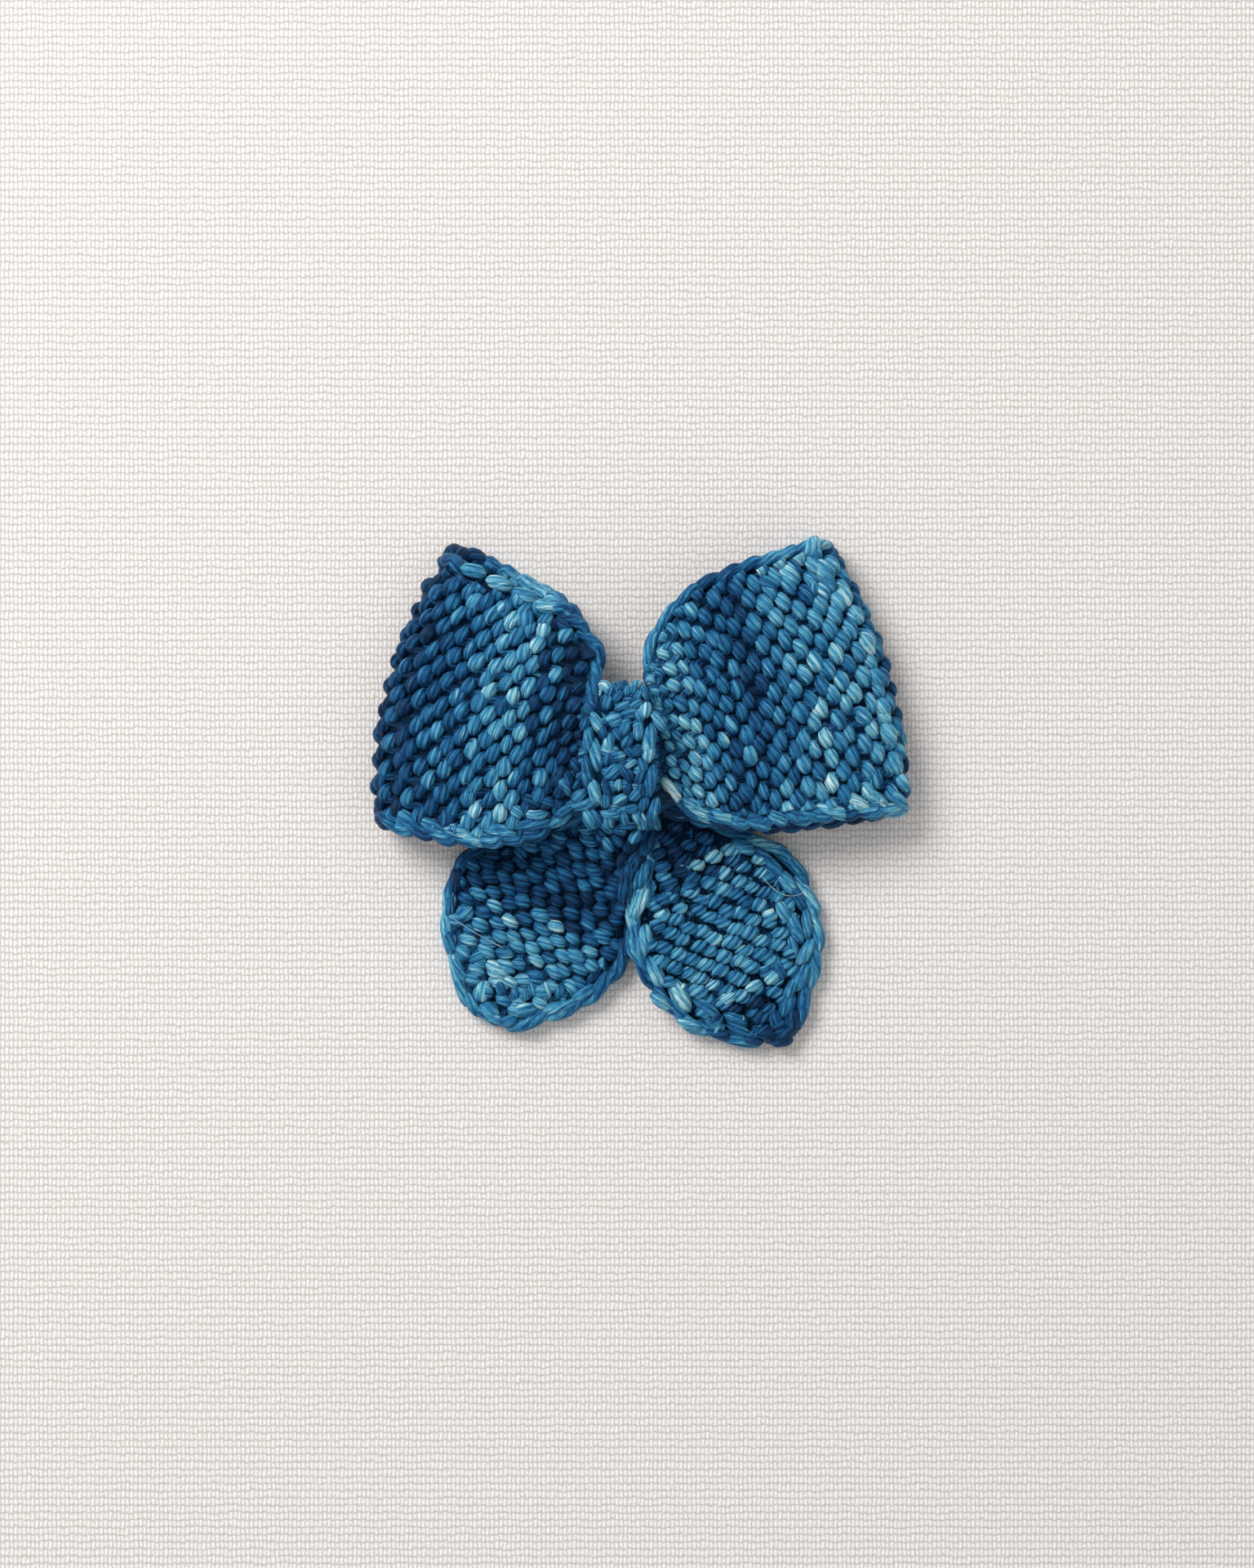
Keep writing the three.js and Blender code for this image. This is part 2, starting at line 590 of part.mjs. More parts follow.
const PLATE_BOTTOM = CLIP_HEIGHT - SHEET;
const PLATE_EAR_Y = CLIP_WIDTH / 2 - SHEET / 2;
const PRONG_HALF_WIDTH = CLIP_WIDTH / 2 - SHEET - GAP;
const PRONG_EAR_Y = PRONG_HALF_WIDTH - SHEET / 2;

function clipTopPlate() {
  const straight = (CLIP_LENGTH - CLIP_WIDTH) / 2;
  const outline = new THREE.Shape();
  outline.absarc(straight, 0, CLIP_WIDTH / 2, -Math.PI / 2, Math.PI / 2, false);
  outline.absarc(-straight, 0, CLIP_WIDTH / 2, Math.PI / 2, (3 * Math.PI) / 2, false);
  outline.closePath();
  const sheet = new THREE.ExtrudeGeometry(outline, {
    depth: SHEET,
    bevelEnabled: false,
    curveSegments: 12,
  });
  sheet.translate(0, 0, PLATE_BOTTOM);
  let solid = toSolid(sheet);
  const ear = earShape(PLATE_EAR_RADIUS, PLATE_BOTTOM + SHEET / 2);
  for (const side of [-1, 1]) {
    solid = solid.add(toSolid(slab(ear, SHEET, side * PLATE_EAR_Y)));
  }
  return toGeometry(solid);
}

// The prong's middle line from its jaw to its finger tab: reach from the clip's middle as shares
// of half the clip's length, and height as shares of the room under the plate.
const PRONG_LINE_SHARES = [
  [-0.98, 0.86],
  [-0.6, 0.84],
  [-0.2, 0.44],
  [0.08, 0.06],
  [0.3, 0],
  [0.97, 0],
];

function prongHeight(share) {
  const low = GAP + SHEET / 2;
  const high = PLATE_BOTTOM - GAP - TOOTH_HEIGHT - SHEET / 2;
  return low + ((high - low) * share) / PRONG_LINE_SHARES[0][1];
}

function clipLowerProng() {
  const line = PRONG_LINE_SHARES.map(([x, z]) => new THREE.Vector2((CLIP_LENGTH / 2) * x, prongHeight(z)));
  const normals = line.map((p, i) => {
    const ahead = line[Math.min(i + 1, line.length - 1)];
    const back = line[Math.max(i - 1, 0)];
    const along = ahead.clone().sub(back).normalize();
    return new THREE.Vector2(-along.y, along.x);
  });
  const shape = new THREE.Shape();
  const side = (sign) => line.map((p, i) => p.clone().addScaledVector(normals[i], (sign * SHEET) / 2));
  const outline = [...side(-1), ...side(1).reverse()];
  outline.forEach((p, i) => (i === 0 ? shape.moveTo(p.x, p.y) : shape.lineTo(p.x, p.y)));
  shape.closePath();
  let solid = toSolid(slab(shape, 2 * PRONG_HALF_WIDTH, 0));
  const ear = earShape(PRONG_EAR_RADIUS, line.at(-1).y);
  for (const way of [-1, 1]) {
    solid = solid.add(toSolid(slab(ear, SHEET, way * PRONG_EAR_Y)));
  }
  const jaw = line[0];
  for (let i = 0; i < TOOTH_COUNT; i += 1) {
    const x = jaw.x + TOOTH_PITCH * i;
    const z = jaw.y;
    const tooth = new THREE.Shape();
    tooth.moveTo(x, z);
    tooth.lineTo(x + TOOTH_PITCH, z);
    tooth.lineTo(x + TOOTH_PITCH, z + SHEET / 2);
    tooth.lineTo(x + TOOTH_PITCH / 2, z + SHEET / 2 + TOOTH_HEIGHT);
    tooth.lineTo(x, z + SHEET / 2);
    tooth.closePath();
    solid = solid.add(toSolid(slab(tooth, 2 * PRONG_HALF_WIDTH, 0)));
  }
  return toGeometry(solid);
}

function clipHingePin() {
  const reach = CLIP_WIDTH / 2 + GAP;
  const profile = [
    [0, -reach - PIN_HEAD],
    [PIN_HEAD_RADIUS, -reach - PIN_HEAD],
    [PIN_HEAD_RADIUS, -reach],
    [PIN_RADIUS, -reach],
    [PIN_RADIUS, reach],
    [PIN_HEAD_RADIUS, reach],
    [PIN_HEAD_RADIUS, reach + PIN_HEAD],
    [0, reach + PIN_HEAD],
  ];
  const points = profile.map(([r, y]) => new THREE.Vector2(r, y));
  return new THREE.LatheGeometry(points, 24);
}

// Torsion spring: a coil round the pin whose two legs press the plate and the prong's tab apart
function springPoints() {
  const radius = PIN_RADIUS + GAP + SPRING_WIRE / 2;
  const perTurn = 16;
  const count = SPRING_TURNS * perTurn;
  const half = (SPRING_TURNS * SPRING_PITCH) / 2;
  const coil = Array.from({ length: count + 1 }, (_, i) => {
    const angle = Math.PI / 2 - (2 * Math.PI * i) / perTurn;
    const y = (2 * half * i) / count - half;
    return new THREE.Vector3(radius * Math.cos(angle), y, radius * Math.sin(angle));
  });
  const upper = PLATE_BOTTOM - GAP - SPRING_WIRE / 2 - PIN_Z;
  const lower = prongHeight(0) + SHEET / 2 + GAP + SPRING_WIRE / 2 - PIN_Z;
  const legTop = [1, 2 / 3, 1 / 3].map((t) => {
    return new THREE.Vector3(-SPRING_LEG * t, -half, radius + (upper - radius) * t);
  });
  const legLow = [1 / 3, 2 / 3, 1].map((t) => {
    return new THREE.Vector3(-SPRING_LEG * t, half, -radius + (lower + radius) * t);
  });
  return { coil, points: [...legTop, ...coil, ...legLow], perTurn };
}

// Binding stitch: yarn taken under the plate and up both of its sides into the fabric
function stitchPoints() {
  const side = CLIP_WIDTH / 2 + GAP + THREAD / 2;
  const low = PLATE_BOTTOM - GAP - THREAD / 2;
  return [
    new THREE.Vector3(0, -side, CLIP_HEIGHT),
    new THREE.Vector3(0, -side, (CLIP_HEIGHT + PLATE_BOTTOM) / 2),
    new THREE.Vector3(0, -side + THREAD / 2, low),
    new THREE.Vector3(0, 0, low),
    new THREE.Vector3(0, side - THREAD / 2, low),
    new THREE.Vector3(0, side, (CLIP_HEIGHT + PLATE_BOTTOM) / 2),
    new THREE.Vector3(0, side, CLIP_HEIGHT),
  ];
}

// Assembly
addMesh("loop_band", loopBand(), knit(0x2a6585));
addMesh("knot_band", knotBand(), knit(0x2f7391));
const leftTail = tailStations(LEFT_TAIL_SHARES, -1, LEFT_TAIL_REACH, LEFT_TAIL_DROP);
const rightTail = tailStations(RIGHT_TAIL_SHARES, 1, RIGHT_TAIL_REACH, RIGHT_TAIL_DROP);
addMesh("left_tail", tail(leftTail), knit(0x24597a));
addMesh("right_tail", tail(rightTail), knit(0x2d6d8c));

const winding = windingPoints();
const windingGap = leastGap(winding, WINDING_STEPS, THREAD);
console.log(`waist winding, least gap to itself: ${windingGap.toFixed(2)} mm`);
addMesh("waist_winding", tube(winding, THREAD, 6, winding.length - 1), knit(0x1d4660));

const clip = new THREE.Group();
clip.position.y = WAIST_Y;
bow.add(clip);
const plate = addMesh("clip_top_plate", clipTopPlate(), steel(0xc9ccd0, 0.3));
const prong = addMesh("clip_lower_prong", clipLowerProng(), steel(0xc9ccd0, 0.3));
const pin = addMesh("clip_hinge_pin", clipHingePin(), steel(0xb8bbc0, 0.35));
pin.position.set(PIN_X, 0, PIN_Z);
const spring = springPoints();
const springGap = leastGap(spring.coil, spring.perTurn, SPRING_WIRE);
console.log(`clip spring, least gap to itself: ${springGap.toFixed(2)} mm`);
const springMesh = addMesh(
  "clip_torsion_spring",
  tube(spring.points, SPRING_WIRE, 6, spring.points.length - 1),
  steel(0xa9adb3, 0.25),
);
springMesh.position.set(PIN_X, 0, PIN_Z);
springMesh.rotation.z = Math.PI;
clip.add(plate, prong, pin, springMesh);
for (let i = 0; i < STITCH_COUNT; i += 1) {
  const stitch = addMesh(`binding_stitch_${i + 1}`, tube(stitchPoints(), THREAD, 6, 18), knit(0x2b5f7d));
  stitch.position.x = STITCH_START_X + STITCH_PITCH * i;
  clip.add(stitch);
}

// Origin under the middle of the bow, on the surface that it lies on
bow.updateMatrixWorld(true);
const bounds = new THREE.Box3().setFromObject(bow, true);
bow.position.x = -(bounds.min.x + bounds.max.x) / 2;
bow.position.y = -(bounds.min.y + bounds.max.y) / 2;
bow.updateMatrixWorld(true);
const size = bounds.getSize(new THREE.Vector3());
console.log(`size ${size.x.toFixed(2)} x ${size.y.toFixed(2)} x ${size.z.toFixed(2)} mm`);
console.log(`waist at x ${bow.position.x.toFixed(3)}, y ${bow.position.y.toFixed(3)} mm`);

export default bow;
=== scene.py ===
"""Looks of a hand-knitted hair bow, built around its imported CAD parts.

Every soft piece is knitted here stitch by stitch: a yarn of twisted plies follows garter-stitch
rows over the same stations as the solids, and chain selvages close the edges. Lengths are in
millimetres with the waist of the bow as origin, and they become metres in the model's frame last.
"""
import math

import bpy
import numpy as np
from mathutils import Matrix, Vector


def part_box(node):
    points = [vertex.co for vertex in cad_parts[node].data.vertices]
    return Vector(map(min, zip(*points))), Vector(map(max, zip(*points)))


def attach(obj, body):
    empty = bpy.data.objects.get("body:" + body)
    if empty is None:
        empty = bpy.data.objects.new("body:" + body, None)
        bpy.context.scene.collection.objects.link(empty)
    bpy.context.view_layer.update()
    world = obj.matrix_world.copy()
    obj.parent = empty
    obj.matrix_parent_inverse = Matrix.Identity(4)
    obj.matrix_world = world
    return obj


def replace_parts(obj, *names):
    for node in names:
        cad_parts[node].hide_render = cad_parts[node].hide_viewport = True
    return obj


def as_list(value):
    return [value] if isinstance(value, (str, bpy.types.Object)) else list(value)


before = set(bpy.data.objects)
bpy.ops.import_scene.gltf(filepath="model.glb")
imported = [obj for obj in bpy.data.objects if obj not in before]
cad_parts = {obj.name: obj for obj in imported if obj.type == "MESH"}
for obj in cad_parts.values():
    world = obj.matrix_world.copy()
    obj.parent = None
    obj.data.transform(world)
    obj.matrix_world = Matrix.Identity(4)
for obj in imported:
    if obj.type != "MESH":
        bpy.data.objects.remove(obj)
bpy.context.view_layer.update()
MM = 0.001

# Yarn
YARN = 2.6  # diameter
TAIL_YARN = 2.25
SELVAGE_YARN, TAIL_SELVAGE_YARN = 3.0, 3.5
PLIES = 6
POINTS_PER_PLY = 3
PLY_DEPTH = 0.08  # of the yarn's radius
GROOVE_POWER = 1.5  # a higher one makes the grooves narrower
GROOVE_PAINTED_SHADE = 0.75  # painted shade taken off the dye in a groove, for each radius of its depth
LAY, LONG_LAY = 23.0, 30.0  # length of one turn of the twist, in rows and in selvages
# Unevenness along a yarn: millimetres from one random value to the next, and their spread
UNEVEN = {
    "radius": (7.0, 0.05), "twist": (8.0, 0.35), "swelling": (3.5, 0.045), "lean": (5.0, 0.13),
    "ply dye": (4.5, 0.06), "spot": (3.2, 1.0), "dye": (5.5, 0.085),
}
SPOT_FROM, SPOT_PALE = 1.6, 0.3  # the random value that a pale spot begins at, and its dye
# Maps: from one yarn to the next, how much larger than the yarns the square is, and the ends' place
STRIP_GAP, FIBRE_SHIFT = 0.25, 7.3
MAP_ROOM, LONGEST_ROOM = 1.06, 1.01
CAP_PLACE = (0.9995, 0.0)

# Garter stitch
ROW = 2.47  # from one row to the next
STITCH = 5.3  # along a row
TAIL_ROW, TAIL_STITCH = 2.2, 4.35
STEPS = 20  # points along each stitch
STEEPNESS = 3.2  # of the runs from one ridge to the next
REACH = 1.07  # rows that the yarn goes from its own row to a ridge
EASE = 0.075  # of a stitch, by which a bump is longer than the gap after it
CREST_THICK, CREST_THIN = 1.07, 0.58  # of the yarn's diameter
CREST_POWER = 0.9
DIVE_PAINTED_SHADE, DIVE_SHADE_POWER = 0.36, 1.5  # painted shade taken off the dye where the yarn dives between ridges
ROOM = 2.5  # from a piece's edge to the ends of its rows
MOST_ROOM = 0.3  # of the width
TIGHT_PITCH = 4.8  # a stitch narrower than this is of thinner yarn
LEAST_TIGHT, MOST_LOOSE = 0.6, 1.08  # of the yarn's diameter
# Unevenness along a row: stitches from one random value to the next, and their spread
ROW_SHIFT, ROW_LEVEL, ROW_THICK = (0.5, 0.32), (0.5, 0.12), (0.25, 0.09)
LEAN_SPREAD = 0.08
PROUD = 0.5  # added to the solids' thickness, as fabric may stand proud
REST_PRESS = 0.3 * MM  # height under which the resting yarn is pressed

# Selvages: each is a chain of links
LINK_POINTS = 34
LINK_SHARE = 0.7  # of the chain's pitch, from a link's middle to its ends
LINK_SHIFT, LINK_DEPTH_SPREAD = 0.12, 0.1
LINK_THIN, LINK_SWELL, SWELL_POWER = 0.72, 0.4, 0.8  # thickness of its ends, and more beside them
TAIL_LINK = 3.3
TAIL_EDGE_ROOM = 0.8  # from a tail's edge to the middle of its chain
TAIL_ROWS_START, TAIL_CHAIN_START, TAIL_END_ROOM = 10, 6, 3
KNOT_EDGE_ROOM = 1.5

LOOP_WALES = 10
MOTTLING = 0.05  # spread of the dye from one row to the next
STRAND_POINTS, STRAND_MOTTLING = 16, 0.03
STRAND_END = 0.3  # of its width, from the end of a strand's middle line to its own end
DIVE_POWER, TAPER, TAPER_POWER = 3.0, 0.7, 3.2  # of its depth and thickness towards its ends
RELIEF_STEP, RELIEF_ACROSS = 0.5, 60
NEAR, NEAREST_SPREAD = 0.9, 0.4  # how near to a place a relief's points count
HAIR, HAIR_POINTS, HAIR_LENGTHS, HAIR_TAPER = 0.05, 5, (0.7, 2.6), 0.6
HAIR_SINK, HAIR_RUN, HAIR_RISE = 0.1, 0.8, 0.35  # into the yarn, along it and off it
HAIR_BEND, HAIR_BEND_SPREAD = 0.6, 0.5
HAIR_PALER = (0.1, 0.35)  # added to the dye of the yarn under it
LONG_HAIR, LONG_HAIR_POINTS, WHITE = 0.16, 30, 1.2
THREAD_PLIES, THREAD_LAY, THREAD_DYE = 3, 4.0, 0.4
CORE, CORE_ROW = 0.9, 1.5  # thickness of the cores, and the length of their meshes' rows
CORE_FLOOR = 0.3 * MM

# Parts that a surface is measured in: of each station's length and of the width
LENGTH_PARTS, WIDTH_PARTS = 40, 40
NORMAL_STEP = 0.02
SHEET_PLACES = 60  # where a sheet's width is measured

# The solids' driving sizes
FABRIC = 4.8
REST_CUT = 0.5
GAP = 0.3
THREAD = 0.8
LEFT_REACH, LEFT_RISE, LEFT_DROP = 52.7, 43.9, 20.1
RIGHT_REACH, RIGHT_RISE, RIGHT_DROP = 61.0, 45.2, 17.3
WAIST_HALF_SPAN = 10.4
WAIST_Y = -1.2
WAIST_LAYER = 2.3
WAIST_EDGE_DROP = 0.4
WINDING_TURNS = 4
WINDING_PITCH = 1.3
WINDING_POWER = 0.32
WINDING_STEPS, KNOT_STEPS = 48, 72  # points in a turn
KNOT_FRONT, KNOT_BACK, KNOT_SIDE = 4.0, 2.4, 3.3
KNOT_FRONT_HALF_WIDTH, KNOT_SIDE_HALF_WIDTH, KNOT_BACK_HALF_WIDTH = 6.8, 4.6, 5.0
KNOT_SWAY, KNOT_POWER = 0.5, 3 / 4
TAIL_PINCH = 2.6
LEFT_TAIL_DROP, LEFT_TAIL_REACH = 59.3, 37.7
RIGHT_TAIL_DROP, RIGHT_TAIL_REACH = 62.4, 41.5
TAIL_ROOT_RISE = 5.6
CLIP_LENGTH, CLIP_WIDTH, CLIP_HEIGHT, SHEET = 40.0, 8.0, 6.6, 0.8
PIN_SHARE = 0.15
STITCH_SINK = 1.4  # of a stitch's ends into the fabric
STITCH_COUNT, STITCH_PITCH, STITCH_START_X = 4, 2.3, -4.6
STITCH_STEPS = 6  # from one of its points to the next

TAIL_ROOT_Z = CLIP_HEIGHT + GAP + TAIL_PINCH / 2
KNOT_BOTTOM = CLIP_HEIGHT + GAP + TAIL_PINCH + GAP
WINDING_BOTTOM = KNOT_BOTTOM + KNOT_BACK + GAP
BAND_BOTTOM = WINDING_BOTTOM + THREAD + GAP
BAND_BACK_Z = BAND_BOTTOM + WAIST_LAYER / 2
WAIST_Z = BAND_BOTTOM + WAIST_LAYER + GAP
BAND_FRONT_Z = 2 * WAIST_Z - BAND_BACK_Z
SOFT_FLOOR_Z = FABRIC / 2 - REST_CUT
CLIP_SHOULDER_Z = CLIP_HEIGHT + FABRIC / 2 + 2 * GAP
PIN_X = CLIP_LENGTH * PIN_SHARE
WINDING_HALF_Y = WAIST_HALF_SPAN + GAP + THREAD / 2
WINDING_HALF_Z = WAIST_Z - WINDING_BOTTOM - THREAD / 2

# Where the waist is in the model's frame, from the clip's pin
pin_low, pin_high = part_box("clip_hinge_pin")
WAIST_AT = np.array([
    (pin_low[0] + pin_high[0]) / 2 / MM - PIN_X,
    (pin_low[1] + pin_high[1]) / 2 / MM - WAIST_Y,
    0.0,
])

# Photograph: millimetres in a pixel, the waist's pixel and the picture's size
PIXEL = 0.17
WAIST_PIXEL = (763, 918)
PICTURE = (1536, 1920)
CAMERA_HEIGHT = 800.0
EYE_LEVEL = 14.0  # height at which the picture's scale holds
KEY_PLACE, KEY_SIZE, KEY_POWER = (-0.75, 0.75, 1.05), 0.8, 17.0
KEY_COLOR = (1.0, 0.985, 0.97)
SKY_STRENGTH = 0.55
SENSOR_HEIGHT = 24.0
STAGE_SIZE, STAGE_Z = 3, -0.00005


def to_model(points):
    return (np.asarray(points) + WAIST_AT) * MM


# Stations of the loops, shared with the solids, as shares of their sizes. Columns: lower edge's
# reach, drop and height, upper edge's reach, rise and height, crown outwards and upwards, fabric
# thickness.
LEFT_SHARES = [
    [0.235, 0.69, 0.79, 0.108, 0.457, 0.76, 0, 0.3, 0.85],
    [0.365, 0.91, 0.78, 0.212, 0.636, 0.74, 0.02, 0.26, 1],
    [0.526, 0.985, 0.76, 0.352, 0.748, 0.7, 0.04, 0.2, 1],
    [0.703, 0.945, 0.7, 0.494, 0.814, 0.66, 0.06, 0.14, 1],
    [0.848, 0.86, 0.61, 0.603, 0.868, 0.58, 0.08, 0.09, 1],
    [0.919, 0.79, 0.48, 0.648, 0.891, 0.46, 0.095, 0.04, 1],
    [0.945, 0.745, 0.3, 0.671, 0.934, 0.28, 0.103, 0, 1],
    [0.906, 0.775, 0.1, 0.629, 0.975, 0.09, 0.1, 0, 1],
    [0.8, 0.86, 0, 0.526, 0.953, 0, 0.085, 0, 1],
    [0.639, 0.94, 0.24, 0.38, 0.86, 0.14, 0.06, 0, 1],
]
LEFT_SHOULDER_SHARES = [
    [1.25, 0.93, 0, 0.66, 0.76, 0, 0.08, 0, 1],
    [0.83, 0.8, 0.14, 0.42, 0.6, 0.14, 0, 0, 0.85],
]
RIGHT_SHARES = [
    [0.192, 0.66, 0.79, 0.089, 0.387, 0.76, 0, 0.3, 0.85],
    [0.276, 0.8, 0.78, 0.117, 0.564, 0.74, 0.01, 0.28, 1],
    [0.396, 0.9, 0.77, 0.22, 0.74, 0.72, 0.02, 0.22, 1],
    [0.543, 0.88, 0.75, 0.368, 0.842, 0.7, 0.035, 0.17, 1],
    [0.702, 0.83, 0.7, 0.515, 0.914, 0.66, 0.05, 0.12, 1],
    [0.835, 0.8, 0.61, 0.61, 0.955, 0.58, 0.065, 0.08, 1],
    [0.912, 0.77, 0.48, 0.66, 0.96, 0.46, 0.078, 0.04, 1],
    [0.945, 0.75, 0.3, 0.682, 0.95, 0.28, 0.08, 0, 1],
    [0.912, 0.79, 0.1, 0.652, 0.97, 0.09, 0.078, 0, 1],
    [0.8, 0.86, 0, 0.549, 0.94, 0, 0.06, 0, 1],
    [0.618, 0.94, 0.24, 0.396, 0.85, 0.14, 0.04, 0, 1],
]
RIGHT_SHOULDER_SHARES = [
    [1.29, 0.96, 0, 0.7, 0.726, 0, 0.06, 0, 1],
    [0.78, 0.88, 0.17, 0.43, 0.52, 0.14, 0, 0, 0.85],
]

# Stations of the tails. Columns: left edge's reach, drop and height, right edge's reach, drop
# and height, crown upwards, fabric thickness.
LEFT_TAIL_SHARES = [
    [0.149, 0, 1, 0.01, 0, 1, 0, 0.542],
    [0.158, 0.063, 1, 0.01, 0.09, 1, 0, 0.542],
    [0.194, 0.192, 0.95, 0, 0.25, 0.9, 0, 0.65],
    [0.329, 0.25, 0.6, -0.07, 0.4, 0.5, 0.04, 0.88],
    [0.532, 0.287, 0.26, -0.08, 0.545, 0.2, 0.08, 1],
    [0.734, 0.327, 0.08, -0.04, 0.708, 0.04, 0.12, 1],
    [0.905, 0.384, 0, 0.027, 0.794, 0, 0.15, 1],
    [0.977, 0.493, 0, 0.149, 0.871, 0, 0.15, 1],
    [1, 0.607, 0, 0.297, 0.923, 0, 0.12, 1],
    [0.968, 0.736, 0, 0.441, 0.954, 0, 0.08, 1],
    [0.914, 0.851, 0, 0.568, 0.98, 0, 0.04, 0.95],
    [0.847, 0.943, 0, 0.68, 1, 0, 0, 0.85],
]
RIGHT_TAIL_SHARES = [
    [0.01, 0, 1, 0.143, 0, 1, 0, 0.542],
    [0.01, 0.06, 1, 0.143, 0.06, 1, 0, 0.542],
    [0.131, 0.223, 0.92, 0.274, 0.155, 0.82, 0, 0.6],
    [0.123, 0.373, 0.98, 0.52, 0.256, 0.5, 0.04, 0.88],
    [0.061, 0.482, 0.92, 0.705, 0.305, 0.2, 0.08, 1],
    [0.033, 0.591, 0.84, 0.848, 0.36, 0.04, 0.12, 1],
    [0.049, 0.687, 0.78, 0.922, 0.436, 0, 0.15, 1],
    [0.111, 0.768, 0.68, 0.967, 0.523, 0, 0.16, 1],
    [0.201, 0.85, 0.42, 1, 0.632, 0, 0.15, 1],
    [0.328, 0.929, 0.14, 0.975, 0.741, 0, 0.12, 1],
    [0.48, 0.965, 0, 0.939, 0.828, 0, 0.08, 1],
    [0.623, 0.986, 0, 0.902, 0.905, 0, 0.04, 0.95],
    [0.746, 1, 0, 0.881, 0.965, 0, 0, 0.85],
]


def stations(shares, reach, rise, drop, floor, top):
    """Stations in millimetres, from shares. Reach is negative for a piece on the left."""
    rest = top - floor
    scale = (reach, -drop, rest, reach, rise, rest, reach, rest, FABRIC)
    return np.array(shares) * scale + (0, 0, floor, 0, 0, floor, 0, 0, 0)


def waist_station(x, z, outwards):
    edge = z - outwards * WAIST_EDGE_DROP
    return [x, WAIST_Y - WAIST_HALF_SPAN, edge, x, WAIST_Y + WAIST_HALF_SPAN, edge,
            0, outwards * WAIST_EDGE_DROP, WAIST_LAYER]


def band_stations():
    """The ring: the waist in front, the right loop, the waist at the back and the left loop."""
    halves = []
    for shares, shoulder, reach, rise, drop in (
        (LEFT_SHARES, LEFT_SHOULDER_SHARES, -LEFT_REACH, LEFT_RISE, LEFT_DROP),
        (RIGHT_SHARES, RIGHT_SHOULDER_SHARES, RIGHT_REACH, RIGHT_RISE, RIGHT_DROP),
    ):
        halves.append(np.concatenate([
            stations(shares, reach, rise, drop, SOFT_FLOOR_Z, WAIST_Z),
            stations(shoulder, math.copysign(CLIP_LENGTH / 2, reach), rise, drop,
                     CLIP_SHOULDER_Z, WAIST_Z)]))
    front = KNOT_FRONT_HALF_WIDTH - GAP
    back = KNOT_BACK_HALF_WIDTH + GAP
    return np.concatenate([
        [waist_station(x, BAND_FRONT_Z, 1) for x in (-front, 0, front)], halves[1],
        [waist_station(x, BAND_BACK_Z, -1) for x in (back, 0, -back)], halves[0][::-1]])


def tail_stations(shares, reach, drop):
    """A tail's first station is its root, behind the knot."""
    shares = np.insert(shares, 6, 0, axis=1)
    rows = stations(shares, reach, -drop, drop, SOFT_FLOOR_Z, TAIL_ROOT_Z)
    rows[0, [1, 4]] = TAIL_ROOT_RISE
    return rows


# Surfaces
class Course:
    """A surface of courses between two edges: u counts stations and v goes across from 0 to 1."""

    def __init__(self, stations, closed):
        self.rows = np.array(stations, float)
        self.closed = closed
        self.spans = len(stations) if closed else len(stations) - 1

    def blend(self, u):
        count = len(self.rows)
        u = np.mod(u, self.spans) if self.closed else np.clip(u, 0, self.spans)
        at = np.minimum(np.floor(u).astype(int), self.spans - 1)
        f = (u - at)[..., None]
        a, b, c, d = (
            self.rows[(at + i) % count if self.closed else np.clip(at + i, 0, count - 1)]
            for i in (-1, 0, 1, 2))
        slope, after, rise = (c - a) / 2, (d - b) / 2, c - b
        return b + f * (slope + f * (3 * rise - 2 * slope - after + f * (slope + after - 2 * rise)))

    def at(self, u, v):
        row = self.blend(u)
        low, high = row[..., 0:3], row[..., 3:6]
        crown = np.stack([row[..., 6], np.zeros_like(row[..., 6]), row[..., 7]], axis=-1)
        half = np.linalg.norm(high - low, axis=-1) / 2
        across = (high - low) / (2 * half[..., None])
        sweep = 2 * np.arctan(np.linalg.norm(crown, axis=-1) / half) + 1e-6
        angle = (2 * v - 1) * sweep
        lift = (np.cos(angle) - np.cos(sweep)) / (1 - np.cos(sweep))
        shift = half * np.sin(angle) / np.sin(sweep)
        return (low + high) / 2 + across * shift[..., None] + crown * lift[..., None]

    def thickness(self, u):
        return self.blend(u)[..., 8]


